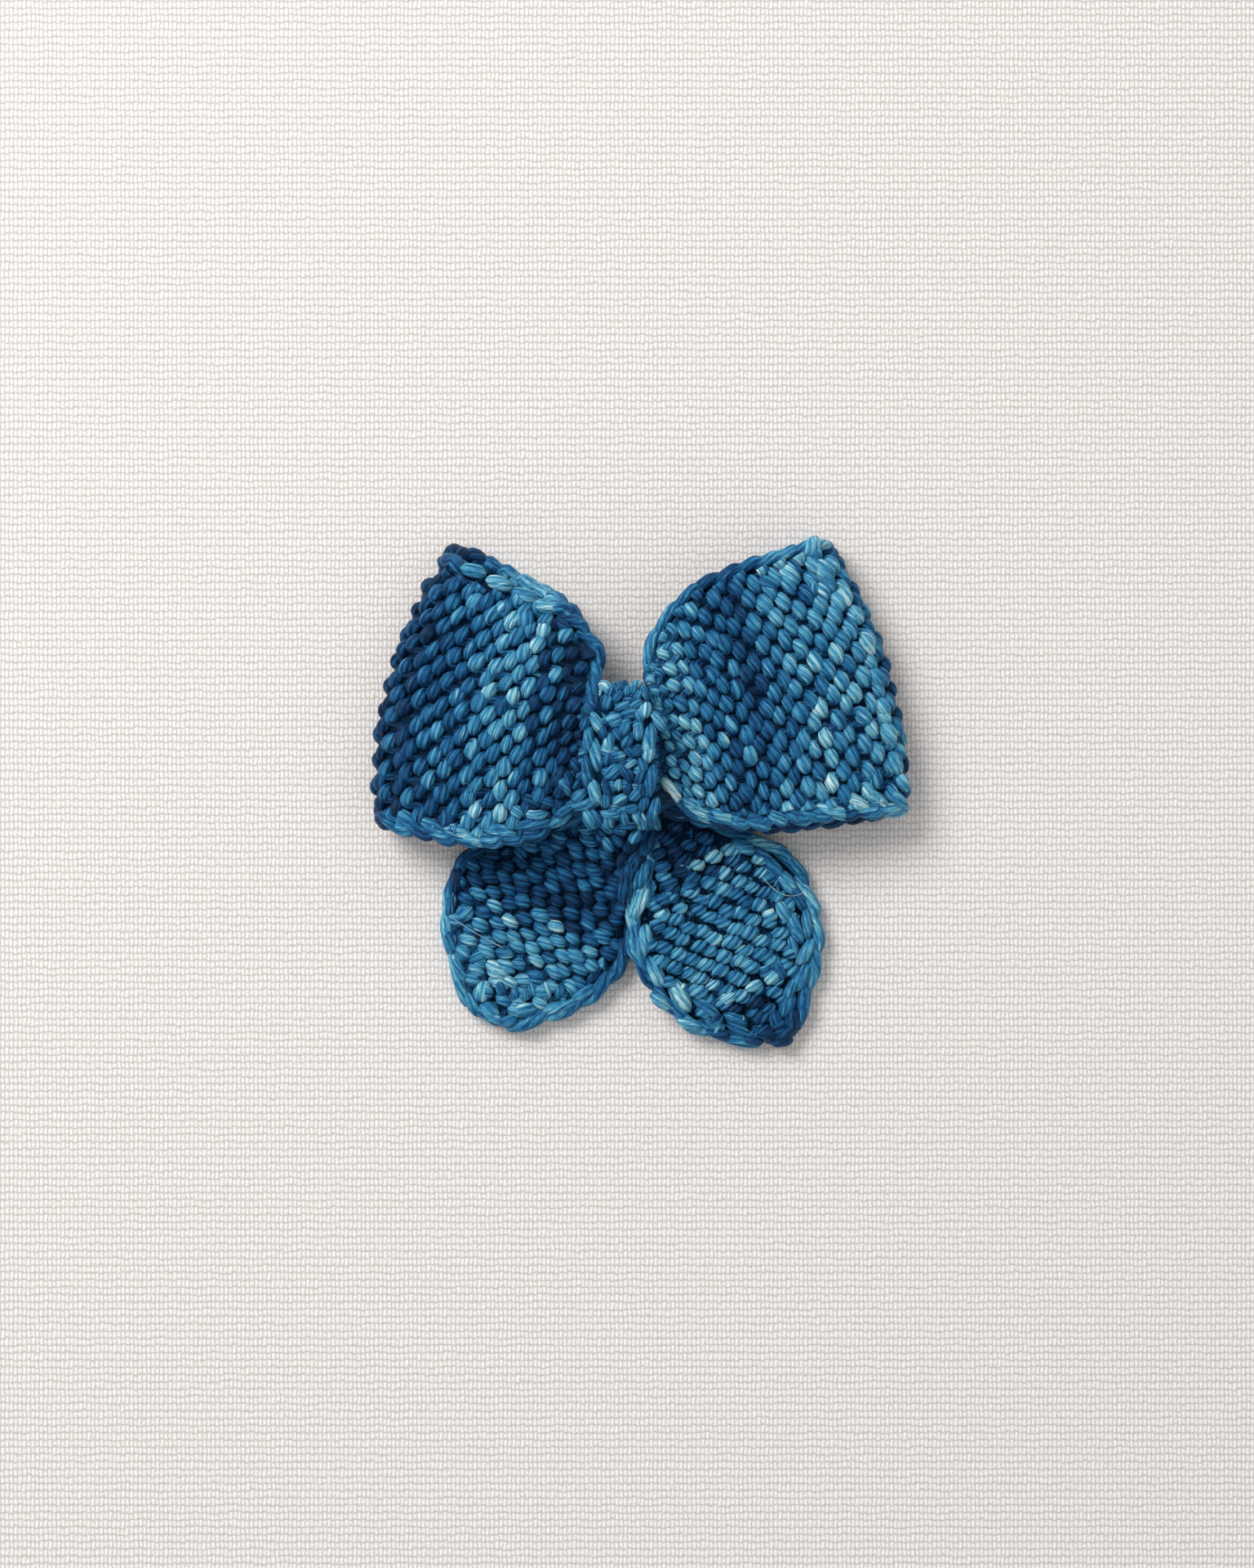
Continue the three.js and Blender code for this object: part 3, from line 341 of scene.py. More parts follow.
class Wrap:
    """The knot's band: u counts points round the waist and v goes across from right to left."""

    def __init__(self):
        self.closed = True
        self.spans = KNOT_STEPS
        self.inner_y = WINDING_HALF_Y + THREAD / 2 + GAP
        self.inner_z = WINDING_HALF_Z + THREAD / 2 + GAP

    def walls(self, u):
        angle = np.pi / 2 - 2 * np.pi * u / self.spans
        sin, cos = np.sin(angle), np.cos(angle)

        def bend(value, power):
            return np.sign(value) * np.abs(value) ** power

        wall = np.where(sin > 0, KNOT_FRONT, KNOT_BACK)
        inner = np.stack([
            self.inner_y * bend(cos, WINDING_POWER), self.inner_z * bend(sin, WINDING_POWER)], -1)
        outer = np.stack([
            (self.inner_y + KNOT_SIDE) * bend(cos, KNOT_POWER),
            (self.inner_z + wall) * bend(sin, KNOT_POWER)], -1)
        front, back = np.maximum(sin, 0) ** 2, np.maximum(-sin, 0) ** 2
        half = (KNOT_FRONT_HALF_WIDTH * front + KNOT_BACK_HALF_WIDTH * back
                + KNOT_SIDE_HALF_WIDTH * (1 - front - back))
        return inner, outer, half, -KNOT_SWAY * cos

    def at(self, u, v):
        inner, outer, half, middle = self.walls(u)
        place = inner * 0.45 + outer * 0.55  # a little outside the wall's middle
        return np.stack([
            middle + half * (1 - 2 * v), WAIST_Y + place[..., 0], WAIST_Z + place[..., 1]], -1)

    def thickness(self, u):
        inner, outer, _, _ = self.walls(u)
        return np.linalg.norm(outer - inner, axis=-1)


class Fabric:
    """A surface measured in millimetres along its middle line."""

    def __init__(self, surface):
        self.surface = surface
        u = np.linspace(0, surface.spans, surface.spans * LENGTH_PARTS + 1)
        middle = surface.at(u, np.full_like(u, 0.5))
        steps = np.linalg.norm(np.diff(middle, axis=0), axis=1)
        self.u, self.along = u, np.concatenate([[0], np.cumsum(steps)])
        self.length = self.along[-1]

    def station(self, station):
        """The distance of a station."""
        return float(np.interp(station, self.u, self.along))

    def to_u(self, along):
        if self.surface.closed:
            along = np.mod(along, self.length)
        return np.interp(along, self.along, self.u)

    def place(self, along, v, height=0.0):
        """A point at a distance along the middle line, a share across, and a height off it."""
        u, v = np.broadcast_arrays(self.to_u(np.asarray(along, float)), np.asarray(v, float))
        point = self.surface.at(u, v)
        ahead, back = self.surface.at(u + NORMAL_STEP, v), self.surface.at(u - NORMAL_STEP, v)
        right = self.surface.at(u, np.minimum(v + NORMAL_STEP, 1))
        left = self.surface.at(u, np.maximum(v - NORMAL_STEP, 0))
        normal = np.cross(ahead - back, right - left)
        normal /= np.maximum(np.linalg.norm(normal, axis=-1, keepdims=True), 1e-9)
        return point + normal * np.asarray(height)[..., None]

    def width(self, along):
        """The fabric's width at a distance along it."""
        v = np.linspace(0, 1, WIDTH_PARTS + 1)
        points = self.surface.at(np.full_like(v, self.to_u(along)), v)
        return float(np.linalg.norm(np.diff(points, axis=0), axis=1).sum())

    def thickness(self, along):
        return self.surface.thickness(self.to_u(np.asarray(along, float)))


# Yarn
def drift(rng, places, step, spread):
    """Smooth noise at places along a yarn: random values a step apart, blended."""
    values = rng.normal(0, spread, int(np.max(places) / step) + 4)
    at = places / step
    i = np.floor(at).astype(int)
    f = (1 - np.cos(np.pi * (at - i))) / 2
    return values[i] * (1 - f) + values[i + 1] * f


def frames(path):
    """Two directions across a path that turn round it as little as they can."""
    tangent = np.gradient(path, axis=0)
    tangent /= np.maximum(np.linalg.norm(tangent, axis=1, keepdims=True), 1e-9)
    points, tangents = [Vector(p) for p in path], [Vector(t) for t in tangent]
    first = Vector((0, 0, 1)).cross(tangents[0])
    if first.length < 0.1:
        first = Vector((1, 0, 0)).cross(tangents[0])
    sides = [first.normalized()]

    def mirror(vector, across):
        size = across.dot(across)
        return vector - across * (2 * across.dot(vector) / size) if size > 1e-12 else vector

    for i in range(len(points) - 1):
        step = points[i + 1] - points[i]
        side, t = mirror(sides[-1], step), mirror(tangents[i], step)
        sides.append(mirror(side, tangents[i + 1] - t).normalized())
    side = np.array(sides)
    return side, np.cross(tangent, side)


def add_object(mesh, material, slot):
    """A knitted piece: an object of the bow's body with one material."""
    mesh.materials.append(material)
    obj = bpy.data.objects.new(mesh.name, mesh)
    bpy.context.collection.objects.link(obj)
    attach(obj, "bow")
    return obj


class Skein:
    """Collects yarns and makes one mesh of them."""

    def __init__(self, name, plies=PLIES, diameter=YARN, lay=LAY, seed=1, depth=PLY_DEPTH):
        self.name, self.plies, self.diameter, self.lay = name, plies, diameter, lay
        self.depth = depth
        self.rng = np.random.default_rng(seed)
        self.sides = plies * POINTS_PER_PLY
        self.points, self.quads, self.caps, self.tone, self.uv = [], [], [], [], []
        self.strips, self.count = [], 0

    def add(self, path, shade, thick=1.0):
        """A yarn along path. shade is its dye from 0, darkest, to 1, palest, at each point."""
        rng, sides, n = self.rng, self.sides, len(path)
        side, up = frames(path)
        gone = np.concatenate([[0], np.cumsum(np.linalg.norm(np.diff(path, axis=0), axis=1))])
        k = np.arange(sides)

        def wander(kind):
            return drift(rng, gone, *UNEVEN[kind])

        def wander_plies(kind):
            plies = np.stack([wander(kind) for _ in range(self.plies)], axis=1)
            return plies[:, k // POINTS_PER_PLY]

        radius = self.diameter / 2 * (1 + wander("radius")) * thick
        twist = -2 * np.pi * (gone / self.lay) + rng.uniform(0, 2 * np.pi) + wander("twist")
        lobe = np.abs(np.cos(np.pi * ((k % POINTS_PER_PLY) / POINTS_PER_PLY - 0.5)))
        groove = 1 - self.depth * (1 - lobe) ** GROOVE_POWER
        swelling = wander_plies("swelling")
        angle = 2 * np.pi * k / sides + twist[:, None] + wander_plies("lean")
        ring = np.cos(angle)[..., None] * side[:, None] + np.sin(angle)[..., None] * up[:, None]
        skin = path[:, None] + ring * (radius[:, None] * groove * (1 + swelling))[..., None]
        self.points.append(skin.reshape(-1, 3))
        # Dye: each ply drifts from the yarn's shade, and a few plies are paler over a short way.
        # The grooves between plies are darkened in it, a painted shade
        own = wander_plies("ply dye")
        own = own + SPOT_PALE * np.clip(wander_plies("spot") - SPOT_FROM, 0, 1)
        tone = shade[:, None] + own + wander("dye")[:, None] - GROOVE_PAINTED_SHADE * (1 - groove)
        self.tone.append(np.clip(tone, 0, 1).reshape(-1))
        i = np.arange(n - 1)[:, None] * sides
        j = (k + 1) % sides
        quads = np.stack([i + k, i + j, i + sides + j, i + sides + k], axis=-1).reshape(-1, 4)
        self.quads.append(quads + self.count)
        end = np.arange(sides) + self.count
        self.caps += [end[::-1], end + (n - 1) * sides]
        # Map: along the yarn in millimetres, and around it in plies
        low, high = gone[:-1, None], gone[1:, None]
        corners = ((low, k), (low, k + 1), (high, k + 1), (high, k))
        self.uv.append(np.stack([
            np.stack(np.broadcast_arrays(u, v / POINTS_PER_PLY), -1) for u, v in corners
        ], axis=2).reshape(-1, 2))
        self.strips.append((len(quads) * 4, float(gone[-1]), np.pi * self.diameter))
        self.count += n * sides

    def build(self, slot):
        points = to_model(np.concatenate(self.points))
        # The yarn is pressed where it rests, without the faces of two yarns in one plane
        low = points[:, 2] < REST_PRESS
        points[low, 2] = REST_PRESS * np.exp(points[low, 2] / REST_PRESS - 1)
        quads = np.concatenate(self.quads)
        corners = np.concatenate([quads.reshape(-1), *self.caps])
        sizes = np.concatenate([np.full(len(quads), 4), np.full(len(self.caps), self.sides)])
        starts = np.concatenate([[0], np.cumsum(sizes)[:-1]])
        mesh = bpy.data.meshes.new(self.name)
        mesh.vertices.add(len(points))
        mesh.vertices.foreach_set("co", points.reshape(-1))
        mesh.loops.add(len(corners))
        mesh.loops.foreach_set("vertex_index", corners.astype(np.int32))
        mesh.polygons.add(len(sizes))
        mesh.polygons.foreach_set("loop_start", starts.astype(np.int32))
        mesh.polygons.foreach_set("use_smooth", np.ones(len(sizes), bool))
        mesh.update(calc_edges=True)
        tone = mesh.attributes.new("dye", "FLOAT", "POINT")
        tone.data.foreach_set("value", np.concatenate(self.tone).astype(np.float32))
        self.map_uv(mesh)
        mesh.validate()
        return add_object(mesh, wool, slot)

    def map_uv(self, mesh):
        """One map in millimetres for the fibres, and one packed in a square for the bake."""
        fine = np.concatenate(self.uv)
        packed = np.zeros_like(fine)
        area = sum(length * width for _, length, width in self.strips)
        longest = max(length for _, length, _ in self.strips)
        side = max(np.sqrt(area) * MAP_ROOM, longest * LONGEST_ROOM)
        x, y, start = 0.0, 0.0, 0
        for index, (count, length, width) in enumerate(self.strips):
            strip = slice(start, start + count)
            if x + length > side:
                x, y = 0.0, y + width + STRIP_GAP
            packed[strip] = fine[strip] * (1, width / self.plies) + (x, y)
            fine[strip] += (index * FIBRE_SHIFT, 0)
            x, start = x + length + STRIP_GAP, start + count
        packed /= max(side, y + width + STRIP_GAP)
        caps = np.full((len(self.caps) * self.sides, 2), CAP_PLACE)
        for name, values in (("fibre", fine), ("OFBake", packed)):
            values = np.concatenate([values, caps]).astype(np.float32)
            mesh.uv_layers.new(name=name).data.foreach_set("uv", values.reshape(-1))


# Garter stitch
def knit(skein, fabric, first, last, dye, wales=None, row=ROW, stitch=STITCH, edge=(ROOM, ROOM),
         lean=0.0, height=0.0):
    """Garter rows from first to last along a fabric, in a fixed count of wales or a fixed gauge."""
    rng = skein.rng
    count = max(int(round((last - first) / row)), 2)
    pitch = (last - first) / count
    for index in range(count):
        along = first + (index + 0.5) * pitch
        width = fabric.width(along)
        # t counts stitches along the row, and v is the share across at each point
        if wales:
            near, far = (min(room / width, MOST_ROOM) for room in edge)
            t = np.linspace(0, wales, wales * STEPS + 1)
            v = near + (1 - near - far) * (t + EASE * np.sin(4 * np.pi * t)) / wales
        else:
            near, far = (max(width / 2 - room, 0.4) / stitch for room in edge)
            t = np.linspace(-near, far, max(int((near + far) * STEPS), 6))
            v = 0.5 + (t + EASE * np.sin(4 * np.pi * t)) * stitch / width
        v = np.clip(v, 0.01, 0.99)
        gone = t - t.min()
        jitter = drift(rng, gone, *ROW_SHIFT) / width
        tilt = lean + float(rng.normal(0, LEAN_SPREAD))
        turn = np.cos(2 * np.pi * t)
        crest = np.abs(turn)
        deep = np.maximum(fabric.thickness(along) + PROUD - skein.diameter, 0.2) / 2
        step = np.tanh(STEEPNESS * turn) / np.tanh(STEEPNESS)
        rise = -pitch * REACH * step + tilt * np.sin(4 * np.pi * t) + drift(rng, gone, *ROW_SHIFT)
        level = deep * turn * (1 if index % 2 else -1) + drift(rng, gone, *ROW_LEVEL) + height
        path = fabric.place(along + rise, v + jitter, level)
        thick = CREST_THIN + (CREST_THICK - CREST_THIN) * crest ** CREST_POWER
        thick = thick * (1 + drift(rng, gone, *ROW_THICK))
        if wales:
            thick = thick * np.clip(width / wales / TIGHT_PITCH, LEAST_TIGHT, MOST_LOOSE)
        # The yarn's colour is darkened where it dives between ridges: painted shade
        skein.add(path, dye(along, v, rng) - DIVE_PAINTED_SHADE * (1 - crest) ** DIVE_SHADE_POWER, thick)


# Selvages
def chain(skein, fabric, first, last, edge_v, dye, room, row=ROW, slim=1.0, sway=1.0):
    """Links of a slip-stitch chain along one edge. A link is a loop whose end lies in the next.

    room gives the distance from the edge to a link's middle, slim the share of the yarn's
    thickness, and sway how far the links swing across the edge.
    """
    pitch = 2 * row
    count = max(int(round((last - first) / pitch)), 1)
    pitch = (last - first) / count
    turn = np.linspace(0, 2 * np.pi, LINK_POINTS)
    run = -np.cos(turn)
    spread = np.sin(turn) * (1 + 0.2 * run)
    thick = LINK_THIN + LINK_SWELL * np.abs(spread) ** SWELL_POWER
    # A link starts inside, swings outwards and turns in again at its end
    out = sway * (
        -1.1 + 1.8 * np.clip((run + 1) / 1.5, 0, 1) - 0.8 * np.clip((run - 0.45) / 0.55, 0, 1))
    for link in range(count):
        middle = first + (link + 0.5) * pitch + skein.rng.normal(0, LINK_SHIFT)
        inside = float(room(middle)) + skein.rng.normal(0, LINK_DEPTH_SPREAD)
        along = middle + pitch * LINK_SHARE * run
        inset = np.clip((inside - out) / fabric.width(middle), 0.0, 0.5)
        v = inset if edge_v < 0.5 else 1 - inset
        deep = np.maximum(fabric.thickness(middle) + PROUD - skein.diameter, 0.6) / 2
        path = fabric.place(along, v, spread * deep)
        beyond = np.clip(out - inside, 0, None)
        if beyond.max() > 0:
            away = fabric.place(along, float(edge_v)) - fabric.place(along, abs(edge_v - 0.05))
            away /= np.linalg.norm(away, axis=1, keepdims=True)
            path = path + away * beyond[:, None]
        skein.add(path, dye(along, v, skein.rng), slim * thick)


# Strands laid one by one
def waist_point(px, py):
    """Where a pixel of the photograph is, in millimetres from the waist."""
    return np.array([(px - WAIST_PIXEL[0]) * PIXEL, (WAIST_PIXEL[1] - py) * PIXEL])


class Relief:
    """The heights of a fabric's upper face, found from points all over it."""

    def __init__(self, fabric, first, last):
        along, v = np.meshgrid(
            np.arange(first, last, RELIEF_STEP), np.linspace(0, 1, RELIEF_ACROSS))
        self.points = fabric.place(along, v, fabric.thickness(along) / 2).reshape(-1, 3)

    def at(self, x, y):
        heights = []
        for px, py in zip(x, y):
            away = np.hypot(self.points[:, 0] - px, self.points[:, 1] - py)
            near = away < NEAR
            if not near.any():
                near = away < away.min() + NEAREST_SPREAD
            heights.append(self.points[near, 2].max())
        return np.array(heights)


def lay(skein, relief, strands, rise, dive=1.7, pale=0.05):
    """Single strands that lie on a relief and dive into it at both ends.

    Each row gives the middle's pixel, the length in pixels, the angle in degrees from the
    picture's rightward direction, the width in pixels, the dye in hundredths and, where the
    strand is bent, its bow to the left in pixels.
    """
    s = np.linspace(-1, 1, STRAND_POINTS)
    for px, py, length, angle, width, dye, *bow in strands:
        shade = dye / 100 - pale + float(skein.rng.normal(0, STRAND_MOTTLING))
        turn = np.radians(angle)
        way, side = np.array([[np.cos(turn), np.sin(turn)], [-np.sin(turn), np.cos(turn)]])
        reach = length * PIXEL / 2 - width * PIXEL * STRAND_END
        bend = sum(bow) * PIXEL * (1 - s * s)
        flat = waist_point(px, py) + np.outer(s * reach, way) + np.outer(bend, side)
        half = width * PIXEL / 2
        height = relief.at(flat[:, 0], flat[:, 1])
        # The mean of five points, so that a strand doesn't follow every step of the relief
        height = np.convolve(np.pad(height, 2, mode="edge"), np.ones(5) / 5, "valid")
        z = height - half + rise - dive * np.abs(s) ** DIVE_POWER
        thick = 2 * half / skein.diameter * (1 - TAPER * np.abs(s) ** TAPER_POWER)
        skein.add(np.column_stack([flat, z]), np.full(STRAND_POINTS, shade), thick)


# Loose fibres
def fuzz(name, count, slot):
    """Short fibres that stand off the knitted rows whose names begin with name."""
    hairs = Skein(f"{name}_fuzz", plies=1, diameter=HAIR, lay=LONG_LAY, seed=70 + len(name))
    rng = hairs.rng
    chosen = [skein for key, skein in skeins.items() if key.startswith(name)]
    sizes = np.array([float(skein.count) for skein in chosen])
    s = np.linspace(0, 1, HAIR_POINTS)[:, None]
    for pick in rng.choice(len(chosen), count, p=sizes / sizes.sum()):
        skein = chosen[pick]
        yarn = int(rng.integers(len(skein.points)))
        skin = skein.points[yarn].reshape(-1, skein.sides, 3)
        at = int(rng.integers(1, len(skin) - 1))
        around = int(rng.integers(skein.sides))
        start = skin[at, around]
        out = start - skin[at].mean(axis=0)
        out /= max(np.linalg.norm(out), 1e-6)
        run = skin[at + 1].mean(axis=0) - skin[at - 1].mean(axis=0)
        run *= rng.choice((-1, 1)) / max(np.linalg.norm(run), 1e-6)
        length = rng.uniform(*HAIR_LENGTHS)
        bend = rng.normal(0, HAIR_BEND_SPREAD, 3)
        path = (start - out * HAIR_SINK + s * length * (run * HAIR_RUN + out * HAIR_RISE)
                + s * s * length * HAIR_BEND * bend)
        path[:, 2] = np.maximum(path[:, 2], HAIR)
        shade = skein.tone[yarn].reshape(-1, skein.sides)[at, around] + rng.uniform(*HAIR_PALER)
        hairs.add(path, np.full(HAIR_POINTS, shade), 1 - HAIR_TAPER * s[:, 0])
    return hairs.build(slot)


# Dye
def sequence(stops, slant=0.0):
    """Dye along a fabric: shades at distances along its middle line, blended between them.

    slant is how much further along the dye is at the edge v = 1 than at the edge v = 0.
    """
    places, shades = zip(*stops)

    def dye(along, v, rng):
        base = np.interp(along + slant * (np.asarray(v) - 0.5), places, shades)
        return base + rng.normal(0, MOTTLING)

    return dye


# Materials
class Shader:
    """A new material. Its nodes' inputs are numbers, colours or other nodes' outputs."""

    def __init__(self, name):
        self.material = bpy.data.materials.new(name)
        self.material.use_nodes = True
        self.tree = self.material.node_tree

    def feed(self, node, inputs):
        for key, value in inputs.items():
            if isinstance(value, bpy.types.NodeSocket):
                self.tree.links.new(value, node.inputs[key])
            else:
                node.inputs[key].default_value = value

    def node(self, kind, inputs=(), **settings):
        node = self.tree.nodes.new(f"ShaderNode{kind}")
        for key, value in settings.items():
            setattr(node, key, value)
        self.feed(node, dict(inputs))
        return node

    def place(self):
        return self.node("TexCoord").outputs["Object"]

    def calc(self, operation, *values):
        return self.node("Math", enumerate(values), operation=operation).outputs[0]

    def total(self, value, *terms):
        for term in terms:
            value = self.calc("ADD", value, term)
        return value

    def times(self, value, factor, less=0.0):
        """(value - less) * factor"""
        value = self.calc("SUBTRACT", value, less) if less else value
        return self.calc("MULTIPLY", value, factor)

    def noise(self, place, scale, detail=2.0, roughness=0.5):
        return self.node("TexNoise", {
            "Vector": place, "Scale": scale, "Detail": detail, "Roughness": roughness,
        }).outputs["Fac"]

    def ramp(self, shade, stops):
        node = self.node("ValToRGB", {"Fac": shade})
        elements = node.color_ramp.elements
        while len(elements) < len(stops):
            elements.new(0.5)
        for element, (position, color) in zip(elements, stops):
            element.position = position
            element.color = (*color, 1)
        return node.outputs["Color"]

    def bump(self, height, strength, distance):
        return self.node("Bump", {
            "Height": height, "Strength": strength, "Distance": distance}).outputs["Normal"]

    def surface(self, inputs):
        self.feed(self.tree.nodes["Principled BSDF"], inputs)
        return self.material


DYE_STOPS = [
    (0.0, (0.001, 0.007, 0.024)),
    (0.2, (0.003, 0.028, 0.102)),
    (0.4, (0.009, 0.099, 0.250)),
    (0.6, (0.037, 0.230, 0.415)),
    (0.78, (0.143, 0.435, 0.570)),
    (0.9, (0.330, 0.620, 0.680)),
    (1.0, (0.700, 0.860, 0.850)),
]
# The cores' near-black colour: painted shade between the stitches
CORE_SHADE_STOPS = [(0, (0.002, 0.010, 0.030)), (1, (0.005, 0.030, 0.075))]
# From the painted shade between the linen's threads to the linen's own pale colour
LINEN_STOPS = [(0, (0.55, 0.505, 0.475)), (1, (0.97, 0.94, 0.92))]
LINEN_THREADS = (0.91, 1.54)  # widths of the linen's upright and level threads
STEEL_GRAIN = (150.0, 4000.0, 4000.0)


def yarn_material():
    """Plied wool: grooves between the plies, and fibres that run along the yarn. Its colour is
    darkened at the plies' edges, a painted shade, and has painted highlights: pale glints and
    streaks along the fibres.
    """
    shader = Shader("hand_dyed_wool")
    calc, times = shader.calc, shader.times
    # The dye attribute also holds painted shade: the grooves between plies and the dives between
    # ridges are darkened in it
    dye = shader.node("Attribute", attribute_name="dye").outputs["Fac"]
    place = shader.node("UVMap", uv_map="fibre").outputs["UV"]
    along, around, _ = shader.node("SeparateXYZ", {"Vector": place}).outputs
    # A ply's fibres turn back towards the yarn's own direction, as it is twisted the other way
    level = calc("ADD", around, times(along, 0.3 * PLIES / LAY))

    def fibres(stretch, crowd, detail):
        lay = shader.node("CombineXYZ", {"X": times(along, stretch), "Y": times(level, crowd)})
        return shader.noise(lay.outputs["Vector"], 1.0, detail, 0.7)

    def above(value, level):
        return calc("MAXIMUM", calc("SUBTRACT", value, level), 0.0)

    fine = fibres(0.5, 5.5, 3.0)
    # Painted highlights: pale glints, and thin pale streaks along the fibres
    painted_glint = above(fibres(0.3, 1.6, 2.0), 0.6)
    painted_shine = above(fibres(0.32, 4.3, 1.0), 0.62)
    # ply is low at the edges between plies: it darkens the colour there, a painted shade, and also
    # shapes the bump
    ply = calc("POWER", calc("ABSOLUTE", calc("SINE", times(around, np.pi))), 0.6)
    shade = shader.total(
        dye, times(fine, 1.25, 0.475), times(ply, 0.2, 0.75), times(painted_glint, 1.1), times(painted_shine, 2.5))
    return shader.surface({
        "Base Color": shader.ramp(shade, DYE_STOPS),
        "Normal": shader.bump(shader.total(times(ply, 0.6), fine), 0.8, 0.00022),
        "Roughness": 0.5, "Specular IOR Level": 0.3, "Specular Tint": (0.35, 0.7, 1.0, 1),
        "Sheen Weight": 0.08, "Sheen Roughness": 0.5, "Sheen Tint": (0.35, 0.65, 0.9, 1),
    })


def core_material():
    """A near-black sheet that hardly shows; where it shows between the stitches, its colour is
    painted shade.
    """
    shader = Shader("core_painted_shade")
    fuzz = shader.noise(shader.place(), 900.0, 4.0)
    return shader.surface({
        "Base Color": shader.ramp(fuzz, CORE_SHADE_STOPS), "Normal": shader.bump(fuzz, 1.0, 0.0003),
        "Roughness": 0.95, "Specular IOR Level": 0.02,
    })


def steel_material(name, color, roughness):
    """Brushed metal, with its grain along the clip."""
    shader = Shader(name)
    grain = shader.node("Mapping", {"Vector": shader.place(), "Scale": STEEL_GRAIN})
    brush = shader.noise(grain.outputs["Vector"], 5.0, 3.0)
    rough = shader.node("MapRange", {
        "Value": brush, "To Min": roughness - 0.07, "To Max": roughness + 0.12})
    tint = shader.node("Mix", {
        "Factor": brush, "A": (*color, 1), "B": (*(c * 0.86 for c in color), 1),
    }, data_type="RGBA")
    return shader.surface({
        "Base Color": tint.outputs["Result"], "Roughness": rough.outputs["Result"],
        "Metallic": 1.0,
    })


def linen_material():
    """Plain weave: upright and level threads that pass over each other in turn. Each thread is
    painted paler along its crown and darker at its edges and where it dips under the other: painted
    shade of the weave's relief.
    """
    shader = Shader("pale_linen")
    calc, times, place = shader.calc, shader.times, shader.place()
    axes = shader.node("SeparateXYZ", {"Vector": place}).outputs
    slub = times(shader.noise(place, 260.0, 3.0), 2.6, 0.5)
    grain = times(shader.noise(place, 1500.0), 0.7, 0.4)
    waves = [
        calc("SINE", calc("ADD", times(axis, np.pi / (width * MM)), slub))
        for axis, width in zip(axes, LINEN_THREADS)
    ]
    upright, level = (calc("ABSOLUTE", wave) for wave in waves)
    over = calc("GREATER_THAN", calc("MULTIPLY", *waves), 0.0)

    # A thread's painted shade: dark at its edges and where it dips under the other thread
    def thread(across, lengthways):
        return calc("MULTIPLY", calc("POWER", across, 0.9), calc("POWER", lengthways, 0.35))

    crossing = calc("MULTIPLY", thread(level, upright), calc("SUBTRACT", 1.0, over))
    weave = shader.total(
        calc("MULTIPLY", thread(upright, level), over), times(crossing, 0.85), grain)
    return shader.surface({
        "Base Color": shader.ramp(weave, LINEN_STOPS),
        "Normal": shader.bump(weave, 0.5, 0.0002), "Roughness": 0.9,
    })


wool = yarn_material()
core = core_material()
nickel = steel_material("nickel_plate", (0.72, 0.71, 0.68), 0.24)
pin_steel = steel_material("pin_steel", (0.6, 0.6, 0.6), 0.3)
spring_steel = steel_material("spring_steel", (0.5, 0.5, 0.52), 0.26)


# Cores: a thin closed sheet in the middle of each fabric that the yarn hides; its near-black colour
# is painted shade where it shows between the stitches
def add_core(name, fabric, last, slot, inset):
    rows = max(int(last / CORE_ROW), 8)
    across = np.array([0, 0.04, *np.arange(1, 10) / 10, 0.96, 1])
    # Thin at both edges
    half = CORE / 2 * np.sqrt(np.clip(1 - (2 * across - 1) ** 8, 0.05, 1))
    rings = []
    for i in range(rows + 1):
        along = last * i / rows
        share = min(inset / fabric.width(along), 0.4)
        v = share + (1 - 2 * share) * across
        rings += [fabric.place(along, v, half), fabric.place(along, v, -half)[::-1]]
    points = to_model(np.concatenate(rings))
    points[:, 2] = np.maximum(points[:, 2], CORE_FLOOR)
    size = 2 * len(across)
    faces = [tuple(range(size)), tuple(range((rows + 1) * size - 1, rows * size - 1, -1))]
    for k in range(rows * size):
        m = k + 1 if (k + 1) % size else k + 1 - size
        faces.append((k, k + size, m + size, m))
    mesh = bpy.data.meshes.new(name)
    mesh.from_pydata(points.tolist(), [], faces)
    mesh.polygons.foreach_set("use_smooth", np.ones(len(mesh.polygons), bool))
    return add_object(mesh, core, slot)


# Pieces
band = Fabric(Course(band_stations(), True))
left_tail = Fabric(Course(
    tail_stations(LEFT_TAIL_SHARES, -LEFT_TAIL_REACH, LEFT_TAIL_DROP), False))
right_tail = Fabric(Course(
    tail_stations(RIGHT_TAIL_SHARES, RIGHT_TAIL_REACH, RIGHT_TAIL_DROP), False))
knot = Fabric(Wrap())
# Distances along the ring: the knot's edges, the folds, and the knot's edges at the back
FRONT_RIGHT, RIGHT_FOLD, BACK_RIGHT, BACK_LEFT, LEFT_FOLD = (
    band.station(station) for station in (2, 10.5, 16, 18, 23.5))
FRONT_LEFT = band.length


def room(stops):
    """How far inside the ring's edge a selvage lies, from millimetres at stations."""
    places = [band.station(station) for station in stops]
    return lambda along: np.interp(along, places, list(stops.values()))


def stations_dye(fabric, stops, slant=0.0):
    """A dye from its hundredths at a fabric's stations."""
    return sequence([(fabric.station(at), shade / 100) for at, shade in stops.items()], slant)


def dyes(stops, start):
    """Stops of a dye at distances from a start, from hundredths at distances."""
    return [(start + place, shade / 100) for place, shade in stops.items()]


